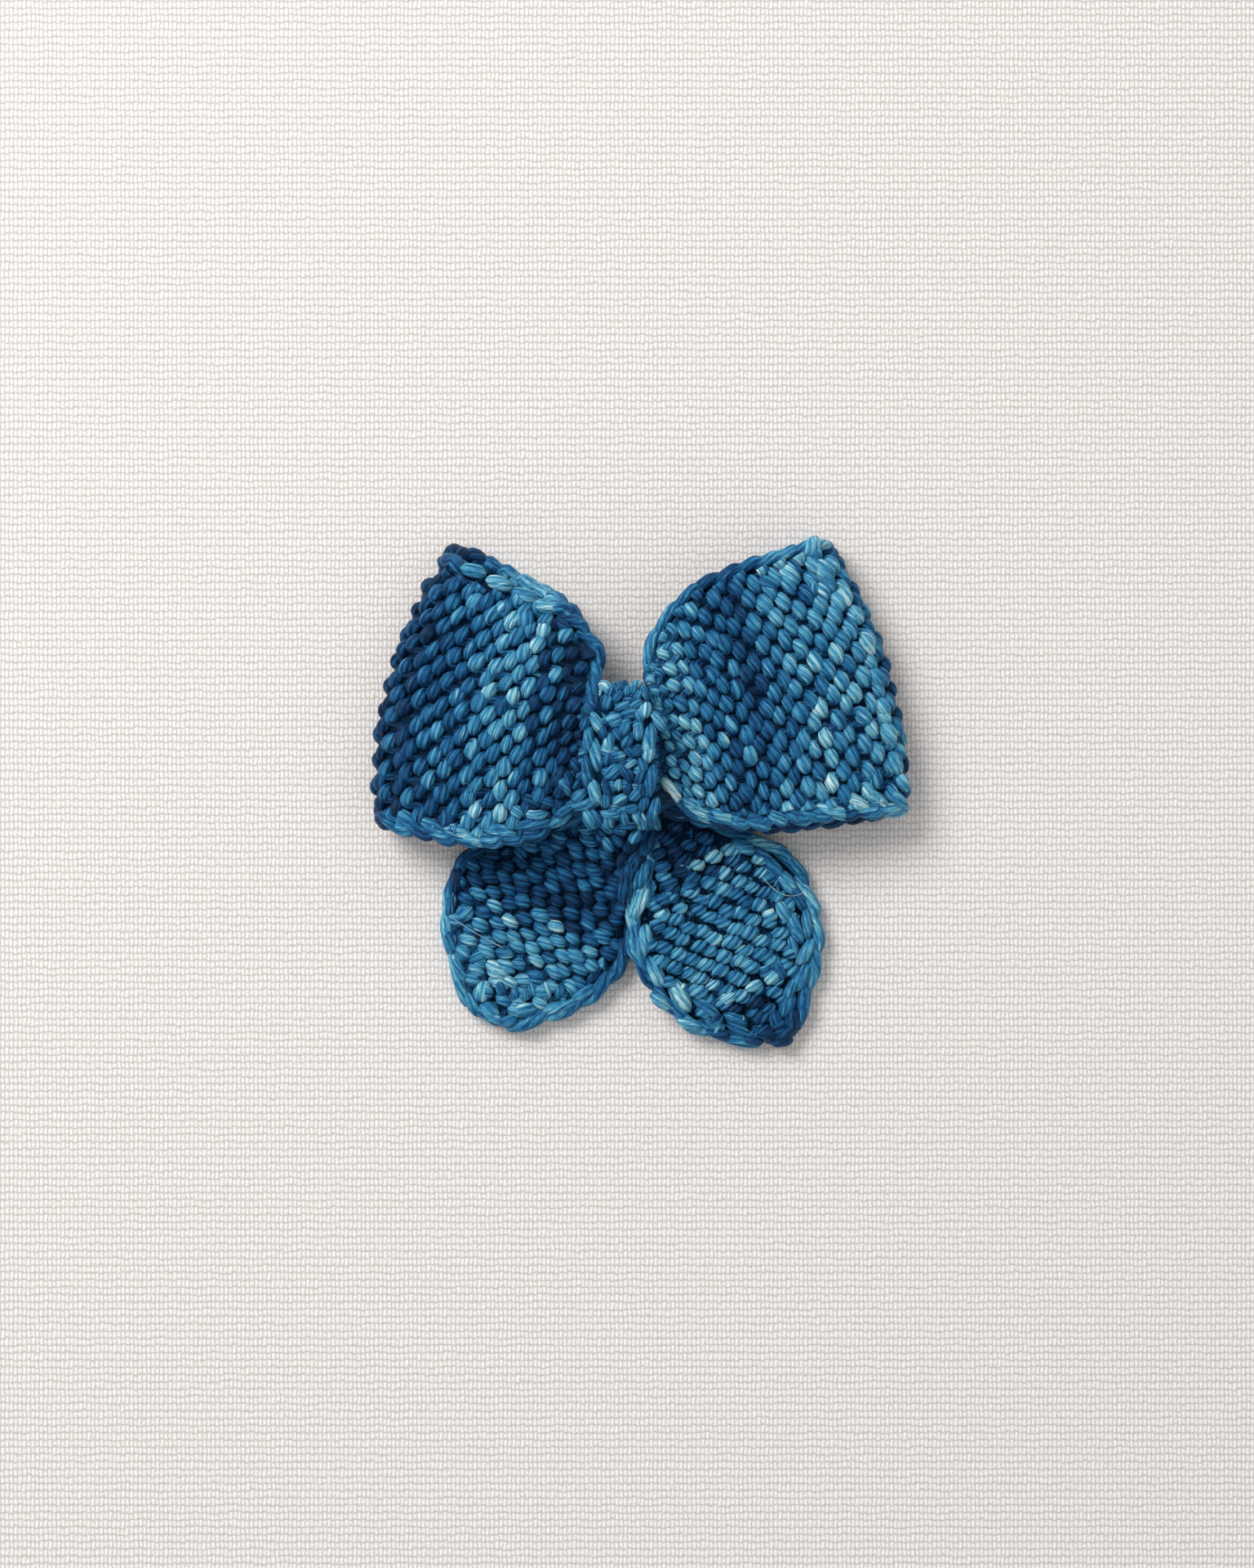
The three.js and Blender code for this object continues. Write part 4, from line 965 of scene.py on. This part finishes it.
RIGHT_DYE = sequence(dyes({
    0: 20, 4: 45, 8: 64, 12: 58, 16: 50, 21: 38, 29: 42, 34: 54, 41: 64, 50: 66, 56: 48, 70: 40,
    85: 62,
}, FRONT_RIGHT) + dyes({0: 45}, BACK_RIGHT))
LEFT_DYE = sequence(
    dyes({0: 50}, BACK_LEFT)
    + dyes({-40: 65, -22: 30, -6: 16, 6: 18, 13: 36}, LEFT_FOLD)
    + dyes({-32: 41, -25: 49, -21: 60, -18.5: 66, -16: 60, -13.5: 28, -8: 20, 0: 26}, FRONT_LEFT))
skeins = {}


def knit_piece(name, fabric, first, last, dye, seed, slot, yarn=YARN, plies=PLIES, lay=LAY,
               depth=PLY_DEPTH, **how):
    skeins[name] = Skein(name, plies, yarn, lay, seed, depth)
    knit(skeins[name], fabric, first, last, dye, **how)
    return skeins[name].build(slot)


def lay_piece(name, relief, strands, seed, slot, rise, yarn=SELVAGE_YARN, **how):
    skein = Skein(name, diameter=yarn, seed=seed)
    lay(skein, relief, strands, rise, **how)
    return skein.build(slot)


loop_parts = [
    knit_piece(name, band, first, last, dye, seed, "loop_knit", wales=LOOP_WALES, lean=lean)
    for name, first, last, dye, seed, lean in (
        ("right_loop_front", FRONT_RIGHT - 1, RIGHT_FOLD, RIGHT_DYE, 11, -0.22),
        ("right_loop_back", RIGHT_FOLD, BACK_RIGHT + 1, RIGHT_DYE, 12, 0.25),
        ("left_loop_back", BACK_LEFT - 1, LEFT_FOLD, LEFT_DYE, 13, -0.2),
        ("left_loop_front", LEFT_FOLD, FRONT_LEFT + 1, LEFT_DYE, 14, 0.35),
    )
]
LOOP_STRANDS = {
    "left": [
        # Selvage at the top
        (579, 698, 40, -14, 18, 60), (611, 714, 42, -20, 19, 66), (642, 729, 42, -22, 18, 64),
        (667, 743, 38, -18, 19, 70),
        # Large stitches under it
        (556, 716, 26, 55, 16, 40), (582, 737, 30, 52, 21, 62), (616, 746, 28, 45, 22, 64),
        (644, 759, 28, 85, 20, 66), (666, 773, 28, 68, 19, 80), (690, 766, 30, -40, 13, 30),
        # Selvage at the bottom
        (476, 1006, 44, -39, 17, 35), (500, 1005, 50, -43, 18, 60), (530, 1013, 51, -35, 18, 66),
        (560, 1018, 49, -21, 17, 62), (578, 1028, 54, -16, 16, 66), (612, 1018, 65, -20, 18, 72),
    ],
    "right": [
        # Selvage at the bottom
        (820, 968, 53, -55, 16, 83, 2), (855, 990, 61, -41, 17, 76, -2),
        (886, 1000, 44, -29, 16, 65), (904, 1008, 33, -33, 15, 40), (928, 1008, 41, -22, 16, 50),
        (952, 1002, 39, -27, 16, 50), (973, 998, 40, -30, 16, 42), (992, 998, 38, -24, 16, 50),
        (1021, 993, 57, -18, 18, 70), (1049, 982, 56, -33, 18, 70), (1074, 978, 52, -36, 18, 70),
        (1101, 978, 46, -45, 17, 66),
        # Large stitches at the top and beside the fold
        (995, 669, 38, 65, 20, 84), (1009, 699, 42, -52, 25, 74), (968, 704, 38, -48, 23, 66),
        (941, 715, 32, -38, 17, 64), (995, 722, 28, 70, 15, 66), (1034, 731, 30, -60, 25, 76),
        (1050, 752, 32, -56, 19, 70), (1063, 789, 36, -62, 18, 72), (1075, 831, 36, -65, 18, 68),
        (1082, 866, 28, -60, 22, 76), (1089, 898, 36, -66, 21, 74), (1098, 934, 38, -70, 19, 62),
        (1108, 958, 32, -62, 17, 62), (1018, 716, 26, -70, 14, 50),
    ],
}
# The selvages' dyes and how far inside the edge they lie, at stations of the ring
# Its dark stops from station 12 to 16, where the selvage runs on the back layer inside the right
# loop's mouth, are painted shade
RIGHT_LOWER_DYE_AND_SHADE = stations_dye(band, {
    2: 15, 3: 30, 4: 40, 7: 30, 8.5: 50, 9.5: 60, 10.6: 50, 12: 16, 16: 20,
})
RIGHT_UPPER_DYE = stations_dye(band, {
    2: 50, 3.5: 44, 4.5: 40, 5.2: 32, 6: 40, 6.8: 52, 7.6: 60, 9: 66, 10.5: 60, 11.5: 30, 16: 30,
})
LEFT_LOWER_DYE = stations_dye(band, {
    18: 30, 22.5: 12, 24: 20, 25.5: 30, 26.5: 42, 28.5: 42, 29.3: 40, 31: 35,
})
LEFT_UPPER_DYE = stations_dye(band, {
    18: 35, 19.4: 42, 20.2: 66, 21: 62, 21.6: 34, 22.4: 20, 23.5: 15, 24.6: 18, 25.6: 30, 26.2: 50,
    28: 62, 29: 36, 31: 30,
})
LOWER_ROOM = room({2: 1.5, 4: 1.2, 16: 1.2, 22: 2.2, 24: 1.2})
UPPER_ROOM = room({
    2: 1.2, 12: 1.2, 19: 1.6, 20: 2.8, 22: 2.6, 23: 1.5, 24: 1.2, 28: 0.9, 29.5: 0.4, 31: 0.2})
for side, first, last, lower_dye, upper_dye, seed in (
    ("right", FRONT_RIGHT, BACK_RIGHT, RIGHT_LOWER_DYE_AND_SHADE, RIGHT_UPPER_DYE, 21),
    ("left", BACK_LEFT, FRONT_LEFT, LEFT_LOWER_DYE, LEFT_UPPER_DYE, 22),
):
    skein = Skein(f"{side}_loop_selvages", diameter=SELVAGE_YARN, lay=LONG_LAY, seed=seed)
    chain(skein, band, first, last, 0, lower_dye, LOWER_ROOM, slim=0.9)
    if side == "left":
        # Between these two parts the selvage is of the strands below
        chain(skein, band, first, band.station(25.1), 1, upper_dye, UPPER_ROOM)
        chain(skein, band, band.station(28.4), last, 1, upper_dye, UPPER_ROOM, slim=0.9)
    else:
        chain(skein, band, first, last, 1, upper_dye, UPPER_ROOM, slim=0.72, sway=0.5)
    front = (RIGHT_FOLD - 60, RIGHT_FOLD + 3) if side == "right" else (LEFT_FOLD - 3, FRONT_LEFT)
    lay(skein, Relief(band, *front), LOOP_STRANDS[side], rise=0.3)
    loop_parts.append(skein.build("loop_knit"))

LEFT_TAIL_DYE = {
    1: 50, 2.6: 50, 3.2: 42, 4: 28, 5.7: 24, 6.3: 54, 8: 62, 10: 58, 11: 54,
}
RIGHT_TAIL_DYE = {
    1: 40, 2.5: 24, 3.9: 26, 4.2: 68, 4.7: 55, 6: 53, 8: 56, 9: 48, 9.8: 26, 12: 22,
}
# Selvages: dye, the links' share of the yarn's thickness and their sway, left edge and right
LEFT_TAIL_SELVAGES = (
    ({2: 30, 5: 18, 6.5: 20, 7.2: 62, 9: 60}, 0.68, 0.35),
    ({2: 35, 6: 25, 7: 40, 8: 55, 10: 60}, 0.8, 0.8))
RIGHT_TAIL_SELVAGES = (
    ({2: 50, 9: 50, 11: 35, 12: 30}, 0.75, 0.7),
    ({2: 40, 4: 50, 6: 55, 8: 55, 10: 42, 12: 30}, 0.75, 0.7))
LEFT_TAIL_STRANDS = [
    (588, 1218, 34, 68, 23, 72), (597, 1243, 36, -55, 26, 66), (576, 1234, 40, -62, 14, 58),
    (639, 1241, 48, 6, 19, 62), (621, 1254, 30, 15, 14, 58), (611, 1212, 30, -70, 13, 42),
    (629, 1221, 26, -85, 14, 50), (641, 1221, 22, 85, 9, 55), (651, 1214, 26, -75, 14, 58),
    (667, 1216, 28, -80, 17, 64), (685, 1218, 20, 80, 13, 42), (685, 1236, 60, 13, 15, 60),
    (715, 1219, 42, 27, 18, 64), (567, 1120, 26, 40, 20, 66), (583, 1176, 30, 20, 15, 50),
    (607, 1190, 42, -37, 17, 72), (549, 1156, 42, -78, 12, 62), (560, 1191, 44, -62, 13, 60),
    (556, 1080, 44, 75, 12, 20), (548, 1112, 40, 86, 11, 50),
]
RIGHT_TAIL_STRANDS = [
    # Left selvage, from the knot down
    (788, 1155, 56, 78, 22, 70), (802, 1192, 56, -66, 20, 60), (833, 1221, 60, -59, 23, 60),
    (867, 1237, 56, -45, 20, 56), (903, 1252, 40, -27, 14, 42), (906, 1264, 40, -30, 14, 48),
    (809, 1229, 36, -40, 14, 60), (846, 1258, 44, -25, 16, 62), (875, 1256, 32, -35, 14, 46),
    (884, 1270, 40, -18, 14, 40),
    # Right selvage
    (912, 1038, 40, -25, 16, 50), (936, 1049, 34, -40, 15, 42), (950, 1064, 42, -48, 18, 50),
    (966, 1083, 46, -55, 20, 60), (981, 1102, 42, -68, 13, 50), (962, 1118, 40, -62, 16, 60),
    (977, 1138, 52, -68, 16, 60), (991, 1134, 50, -86, 12, 56), (974, 1161, 36, -75, 14, 46),
    (990, 1168, 50, 57, 17, 66), (985, 1199, 50, 60, 17, 58), (971, 1214, 44, 60, 13, 46),
    (967, 1235, 42, 64, 17, 50), (957, 1190, 34, -70, 13, 46),
    # Tip
    (966, 1269, 42, 30, 19, 22), (940, 1270, 44, -25, 18, 22), (974, 1252, 42, 75, 19, 25),
    (952, 1252, 30, 100, 15, 22), (960, 1279, 36, 5, 15, 18), (924, 1277, 34, -15, 15, 25),
    # Dark stitches under the knot
    (812, 1062, 26, 15, 15, 30), (834, 1068, 26, 12, 15, 28), (820, 1082, 28, 20, 15, 34),
    (846, 1086, 26, 15, 15, 36), (806, 1046, 24, 20, 14, 30), (812, 1102, 28, 20, 15, 50),
    (893, 1224, 26, 25, 15, 80), (925, 1210, 28, 25, 13, 84), (948, 1200, 24, 40, 17, 80),
]
LEFT_TAIL_TWIST = {"yarn": 2.6, "lay": 13.0, "edge": (1.9, 3.2)}
RIGHT_TAIL_TWIST = {
    "yarn": 2.8, "plies": 4, "lay": 4.6, "lean": 0.36, "depth": 0.2, "edge": (3.2, 4.6)}
tail_parts = {}
for side, fabric, dye, slant, twist, selvages, strands, seed in (
    ("left", left_tail, LEFT_TAIL_DYE, 14.0, LEFT_TAIL_TWIST, LEFT_TAIL_SELVAGES,
     LEFT_TAIL_STRANDS, 31),
    ("right", right_tail, RIGHT_TAIL_DYE, 0.0, RIGHT_TAIL_TWIST, RIGHT_TAIL_SELVAGES,
     RIGHT_TAIL_STRANDS, 41),
):
    last = fabric.length - TAIL_END_ROOM
    rows = knit_piece(
        f"{side}_tail_rows", fabric, TAIL_ROWS_START, last, stations_dye(fabric, dye, slant), seed,
        "tail_knit", row=TAIL_ROW, stitch=TAIL_STITCH, **twist)
    skein = Skein(f"{side}_tail_selvages", diameter=TAIL_SELVAGE_YARN, lay=LONG_LAY, seed=seed + 1)
    for edge_v, (edge_dye, slim, sway) in enumerate(selvages):
        chain(skein, fabric, TAIL_CHAIN_START, last, edge_v, stations_dye(fabric, edge_dye),
              lambda along: TAIL_EDGE_ROOM, TAIL_LINK, slim, sway)
    lay(skein, Relief(fabric, 20, fabric.length), strands, rise=0.5)
    tail_parts[side] = [rows, skein.build("tail_knit")]

# The knot: garter rows round its back and sides, and its crumpled front strand by strand
KNOT_FRONT_STRANDS = [
    # Selvages
    (731, 886, 34, -62, 14, 72), (721, 906, 42, 88, 13, 60), (730, 924, 52, -82, 15, 60),
    (729, 969, 40, -75, 15, 62), (722, 1004, 30, -65, 14, 60), (719, 945, 46, 92, 13, 50),
    (795, 909, 54, 80, 16, 68), (796, 957, 52, 78, 16, 55), (799, 996, 48, 72, 14, 55),
    (806, 884, 34, -60, 13, 58), (790, 871, 26, 70, 15, 70),
    # Front
    (744, 862, 24, 70, 13, 50), (752, 882, 26, 10, 16, 62), (771, 875, 26, 8, 15, 66),
    (763, 866, 26, 20, 11, 68), (779, 864, 24, 30, 11, 72), (765, 893, 22, 60, 14, 66),
    (768, 847, 18, 85, 9, 50), (776, 846, 18, 70, 9, 46), (782, 853, 20, 60, 10, 50),
    (757, 854, 22, 50, 11, 48), (761, 841, 22, 45, 10, 50), (717, 887, 22, 60, 11, 52),
    (748, 849, 22, 60, 11, 45), (790, 850, 24, -70, 11, 45), (782, 897, 26, 85, 13, 66),
    (746, 910, 31, 80, 15, 72), (768, 909, 20, 50, 14, 42), (794, 924, 30, 70, 14, 74),
    (757, 926, 25, 5, 12, 55), (779, 921, 22, 30, 13, 55), (751, 946, 32, 35, 18, 60),
    (773, 936, 22, 30, 8, 80), (770, 950, 22, -70, 13, 25), (784, 951, 24, 65, 12, 32),
    (758, 961, 18, 85, 9, 75), (742, 980, 24, 80, 12, 55), (760, 979, 26, 25, 13, 68),
    (778, 973, 22, 40, 13, 50), (750, 994, 34, 0, 11, 62, -3), (773, 988, 22, 5, 11, 58, -2),
    (780, 1001, 24, -65, 12, 66), (765, 1002, 22, -80, 12, 40), (743, 1012, 26, -45, 12, 45),
    (778, 1024, 22, 55, 14, 62), (758, 1016, 24, -20, 12, 40), (739, 898, 22, -75, 11, 42),
    (745, 929, 22, 75, 12, 45), (764, 945, 18, -60, 11, 40), (787, 937, 24, -75, 12, 45),
    (783, 878, 22, -70, 12, 50), (756, 900, 20, -60, 11, 50), (771, 921, 18, -50, 11, 40),
    (744, 966, 26, -80, 12, 40), (769, 966, 20, 70, 11, 36), (787, 966, 26, 80, 12, 42),
    (768, 1010, 26, 0, 12, 36), (731, 1002, 28, -60, 12, 50), (788, 984, 24, 70, 12, 42),
]
# The right tail's selvage where it comes out from under the knot
ROOT_STRANDS = [
    (795, 1033, 50, 60, 16, 50), (788, 1071, 56, 62, 18, 52), (783, 1108, 56, 60, 18, 70),
    (779, 1024, 26, 58, 13, 68), (776, 1052, 24, 50, 12, 40), (787, 1040, 34, 66, 13, 30),
    (786, 1022, 34, 62, 17, 34), (774, 1036, 34, 66, 17, 24), (780, 1056, 40, 66, 17, 20),
    (768, 1072, 44, 72, 17, 20), (764, 1092, 40, 80, 15, 22), (769, 1037, 26, 80, 12, 30),
    (762, 1052, 26, 60, 12, 25), (757, 1030, 24, -50, 12, 35), (745, 1035, 24, -60, 13, 50),
]
# Loose strands at the foot of the left loop, beside the knot
FOOT_STRANDS = [
    (651, 981, 32, -35, 15, 25), (657, 993, 38, -4, 12, 60, -5), (672, 982, 20, -25, 13, 20),
    (689, 963, 36, -52, 14, 60, 3), (711, 974, 26, 38, 13, 55), (691, 993, 36, 20, 14, 45),
    (652, 1009, 62, 8, 14, 42), (634, 994, 20, -40, 14, 74), (696, 952, 24, -70, 12, 35),
    (706, 937, 24, -60, 12, 30), (681, 955, 24, 60, 12, 30),
]
KNOT_START = knot.station(11)  # from the middle of its front to where its rows begin
KNOT_END = knot.length - KNOT_START
KNOT_DYE = sequence([(0, 0.55)])
KNOT_GROUND = sequence([(-KNOT_START, 0.5), (-3, 0.46), (3, 0.4)])
knot_parts = [
    knit_piece("knot_rows", knot, KNOT_START, KNOT_END, KNOT_DYE, 51, "knot_knit", yarn=2.7,
               wales=3),
    knit_piece("knot_ground", knot, -KNOT_START, KNOT_START, KNOT_GROUND, 55, "knot_knit",
               yarn=3.1, wales=4, height=-0.25),
]
skein = Skein("knot_selvages", diameter=TAIL_YARN, seed=52)
for edge_v in (0, 1):
    chain(skein, knot, KNOT_START + 1, KNOT_END - 1, edge_v, KNOT_DYE,
          lambda along: KNOT_EDGE_ROOM)
knot_parts.append(skein.build("knot_knit"))
knot_parts.append(lay_piece(
    "knot_front", Relief(knot, -KNOT_START * 1.4, KNOT_START * 1.4), KNOT_FRONT_STRANDS, 53,
    "knot_knit", 0.2, yarn=TAIL_YARN, dive=1.8, pale=0.08))
tail_parts["right"].append(lay_piece(
    "right_tail_root", Relief(right_tail, 0, 40), ROOT_STRANDS, 54, "tail_knit", 1.0))
loop_parts.append(lay_piece(
    "left_loop_foot", Relief(band, FRONT_LEFT - 18, FRONT_LEFT), FOOT_STRANDS, 56, "loop_knit",
    0.5))
for name, count, slot, parts in (
    ("right_loop", 5200, "loop_knit", loop_parts), ("left_loop", 5000, "loop_knit", loop_parts),
    ("left_tail", 2000, "tail_knit", tail_parts["left"]),
    ("right_tail", 2000, "tail_knit", tail_parts["right"]),
    ("knot", 900, "knot_knit", knot_parts),
):
    parts.append(fuzz(name, count, slot))
# Two long white hairs that lie over the tails
for side, fabric, ends, sag in (
    ("left", left_tail, ((548, 1123), (614, 1162)), 2),
    ("right", right_tail, ((935, 1074), (990, 1092)), 14),
):
    skein = Skein(f"{side}_tail_hair", plies=1, diameter=LONG_HAIR, lay=LONG_LAY, seed=80)
    (x0, y0), (x1, y1) = (waist_point(*end) for end in ends)
    s = np.linspace(0, 1, LONG_HAIR_POINTS)
    x, y = x0 + (x1 - x0) * s, y0 + (y1 - y0) * s - sag * PIXEL * 4 * s * (1 - s)
    z = Relief(fabric, 20, fabric.length).at(x, y) + 1.0
    skein.add(np.column_stack([x, y, z]), np.full(LONG_HAIR_POINTS, WHITE))
    tail_parts[side].append(skein.build("tail_knit"))

# The cores stand for the solids, which are hidden. Each fabric's widths are also measured along it.
for name, node, fabric, share, slot, inset, held, parts in (
    ("loop_band_core", "loop_band", band, 0.9999, "loop_knit", 2.0, "gathered", loop_parts),
    ("knot_core", "knot_band", knot, 0.9999, "knot_knit", 1.0, "folded", knot_parts),
    ("left_tail_core", "left_tail", left_tail, 0.97, "tail_knit", 2.0, "gathered",
     tail_parts["left"]),
    ("right_tail_core", "right_tail", right_tail, 0.97, "tail_knit", 2.0, "gathered",
     tail_parts["right"]),
):
    sheet = add_core(name, fabric, fabric.length * share, slot, inset)
    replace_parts(sheet, node)
    places = np.linspace(0, fabric.length * 0.999, SHEET_PLACES)
    widths = np.array([fabric.width(at) for at in places]) * MM
    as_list(parts)

for node, material in (
    ("clip_top_plate", nickel), ("clip_lower_prong", nickel), ("clip_hinge_pin", pin_steel),
    ("clip_torsion_spring", spring_steel),
):
    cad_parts[node].data.materials.clear()
    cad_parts[node].data.materials.append(material)


# Threads: the winding that gathers the waist, and the stitches that hold the clip
def smooth(points, steps):
    """A curve through points."""
    line = Course([list(p) + [0] * 6 for p in points], False)
    return line.blend(np.linspace(0, line.spans, line.spans * steps + 1))[:, :3]


def winding_path():
    turn = np.arange(WINDING_TURNS * WINDING_STEPS + 1) / WINDING_STEPS
    angle = 2 * np.pi * turn

    def bend(value):
        return np.sign(value) * np.abs(value) ** WINDING_POWER

    return np.column_stack([
        WINDING_PITCH * (turn - WINDING_TURNS / 2), WAIST_Y + WINDING_HALF_Y * bend(np.cos(angle)),
        WAIST_Z + WINDING_HALF_Z * bend(np.sin(angle))])


def stitch_path(x):
    """Under the clip's plate and up both of its sides, into the fabric."""
    side = CLIP_WIDTH / 2 + GAP + THREAD / 2
    plate = CLIP_HEIGHT - SHEET
    low = plate - GAP - THREAD / 2
    half = [
        (side - THREAD, CLIP_HEIGHT + STITCH_SINK), (side, CLIP_HEIGHT),
        (side, (CLIP_HEIGHT + plate) / 2), (side - THREAD / 2, low),
        (side / 2, low - THREAD / 8)]
    points = [(x, WAIST_Y - y, z) for y, z in half] + [(x, WAIST_Y, low - THREAD / 8)]
    points += [(x, WAIST_Y + y, z) for y, z in half[::-1]]
    return smooth(points, STITCH_STEPS)


def thread(name, path, seed, node):
    skein = Skein(name, plies=THREAD_PLIES, diameter=THREAD, lay=THREAD_LAY, seed=seed)
    skein.add(path, np.full(len(path), THREAD_DYE))
    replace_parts(skein.build("binding_yarn"), node)


thread("winding_thread", winding_path(), 61, "waist_winding")
for i in range(STITCH_COUNT):
    thread(f"stitch_thread_{i + 1}", stitch_path(STITCH_START_X + STITCH_PITCH * i), 62 + i,
           f"binding_stitch_{i + 1}")

# Stage
bpy.ops.mesh.primitive_plane_add(size=STAGE_SIZE, location=(0, 0, STAGE_Z))
plane = bpy.context.object
plane.name = "floor"
plane.data.materials.append(linen_material())


def camera():
    """Looks straight down at the middle of the picture."""
    data = bpy.data.cameras.new("camera")
    data.sensor_fit = "VERTICAL"
    data.sensor_height = SENSOR_HEIGHT
    data.lens = SENSOR_HEIGHT * (CAMERA_HEIGHT - EYE_LEVEL) / (PICTURE[1] * PIXEL)
    data.clip_end = 10
    obj = bpy.data.objects.new("camera", data)
    middle = to_model([*waist_point(PICTURE[0] / 2, PICTURE[1] / 2), 0])
    obj.location = (middle[0], middle[1], CAMERA_HEIGHT * MM)
    bpy.context.collection.objects.link(obj)
    bpy.context.scene.camera = obj


camera()


def key_light():
    data = bpy.data.lights.new("key", "AREA")
    data.shape = "DISK"
    data.size, data.energy, data.color = KEY_SIZE, KEY_POWER, KEY_COLOR
    obj = bpy.data.objects.new("key", data)
    obj.location = KEY_PLACE
    obj.rotation_euler = (-Vector(KEY_PLACE)).to_track_quat("-Z", "Y").to_euler()
    bpy.context.collection.objects.link(obj)


key_light()
world = bpy.data.worlds.new("studio")
bpy.context.scene.world = world
world.use_nodes = True
background = world.node_tree.nodes["Background"].inputs
background["Color"].default_value = (1, 1, 1, 1)
background["Strength"].default_value = SKY_STRENGTH
bpy.context.scene.view_settings.view_transform = "Standard"
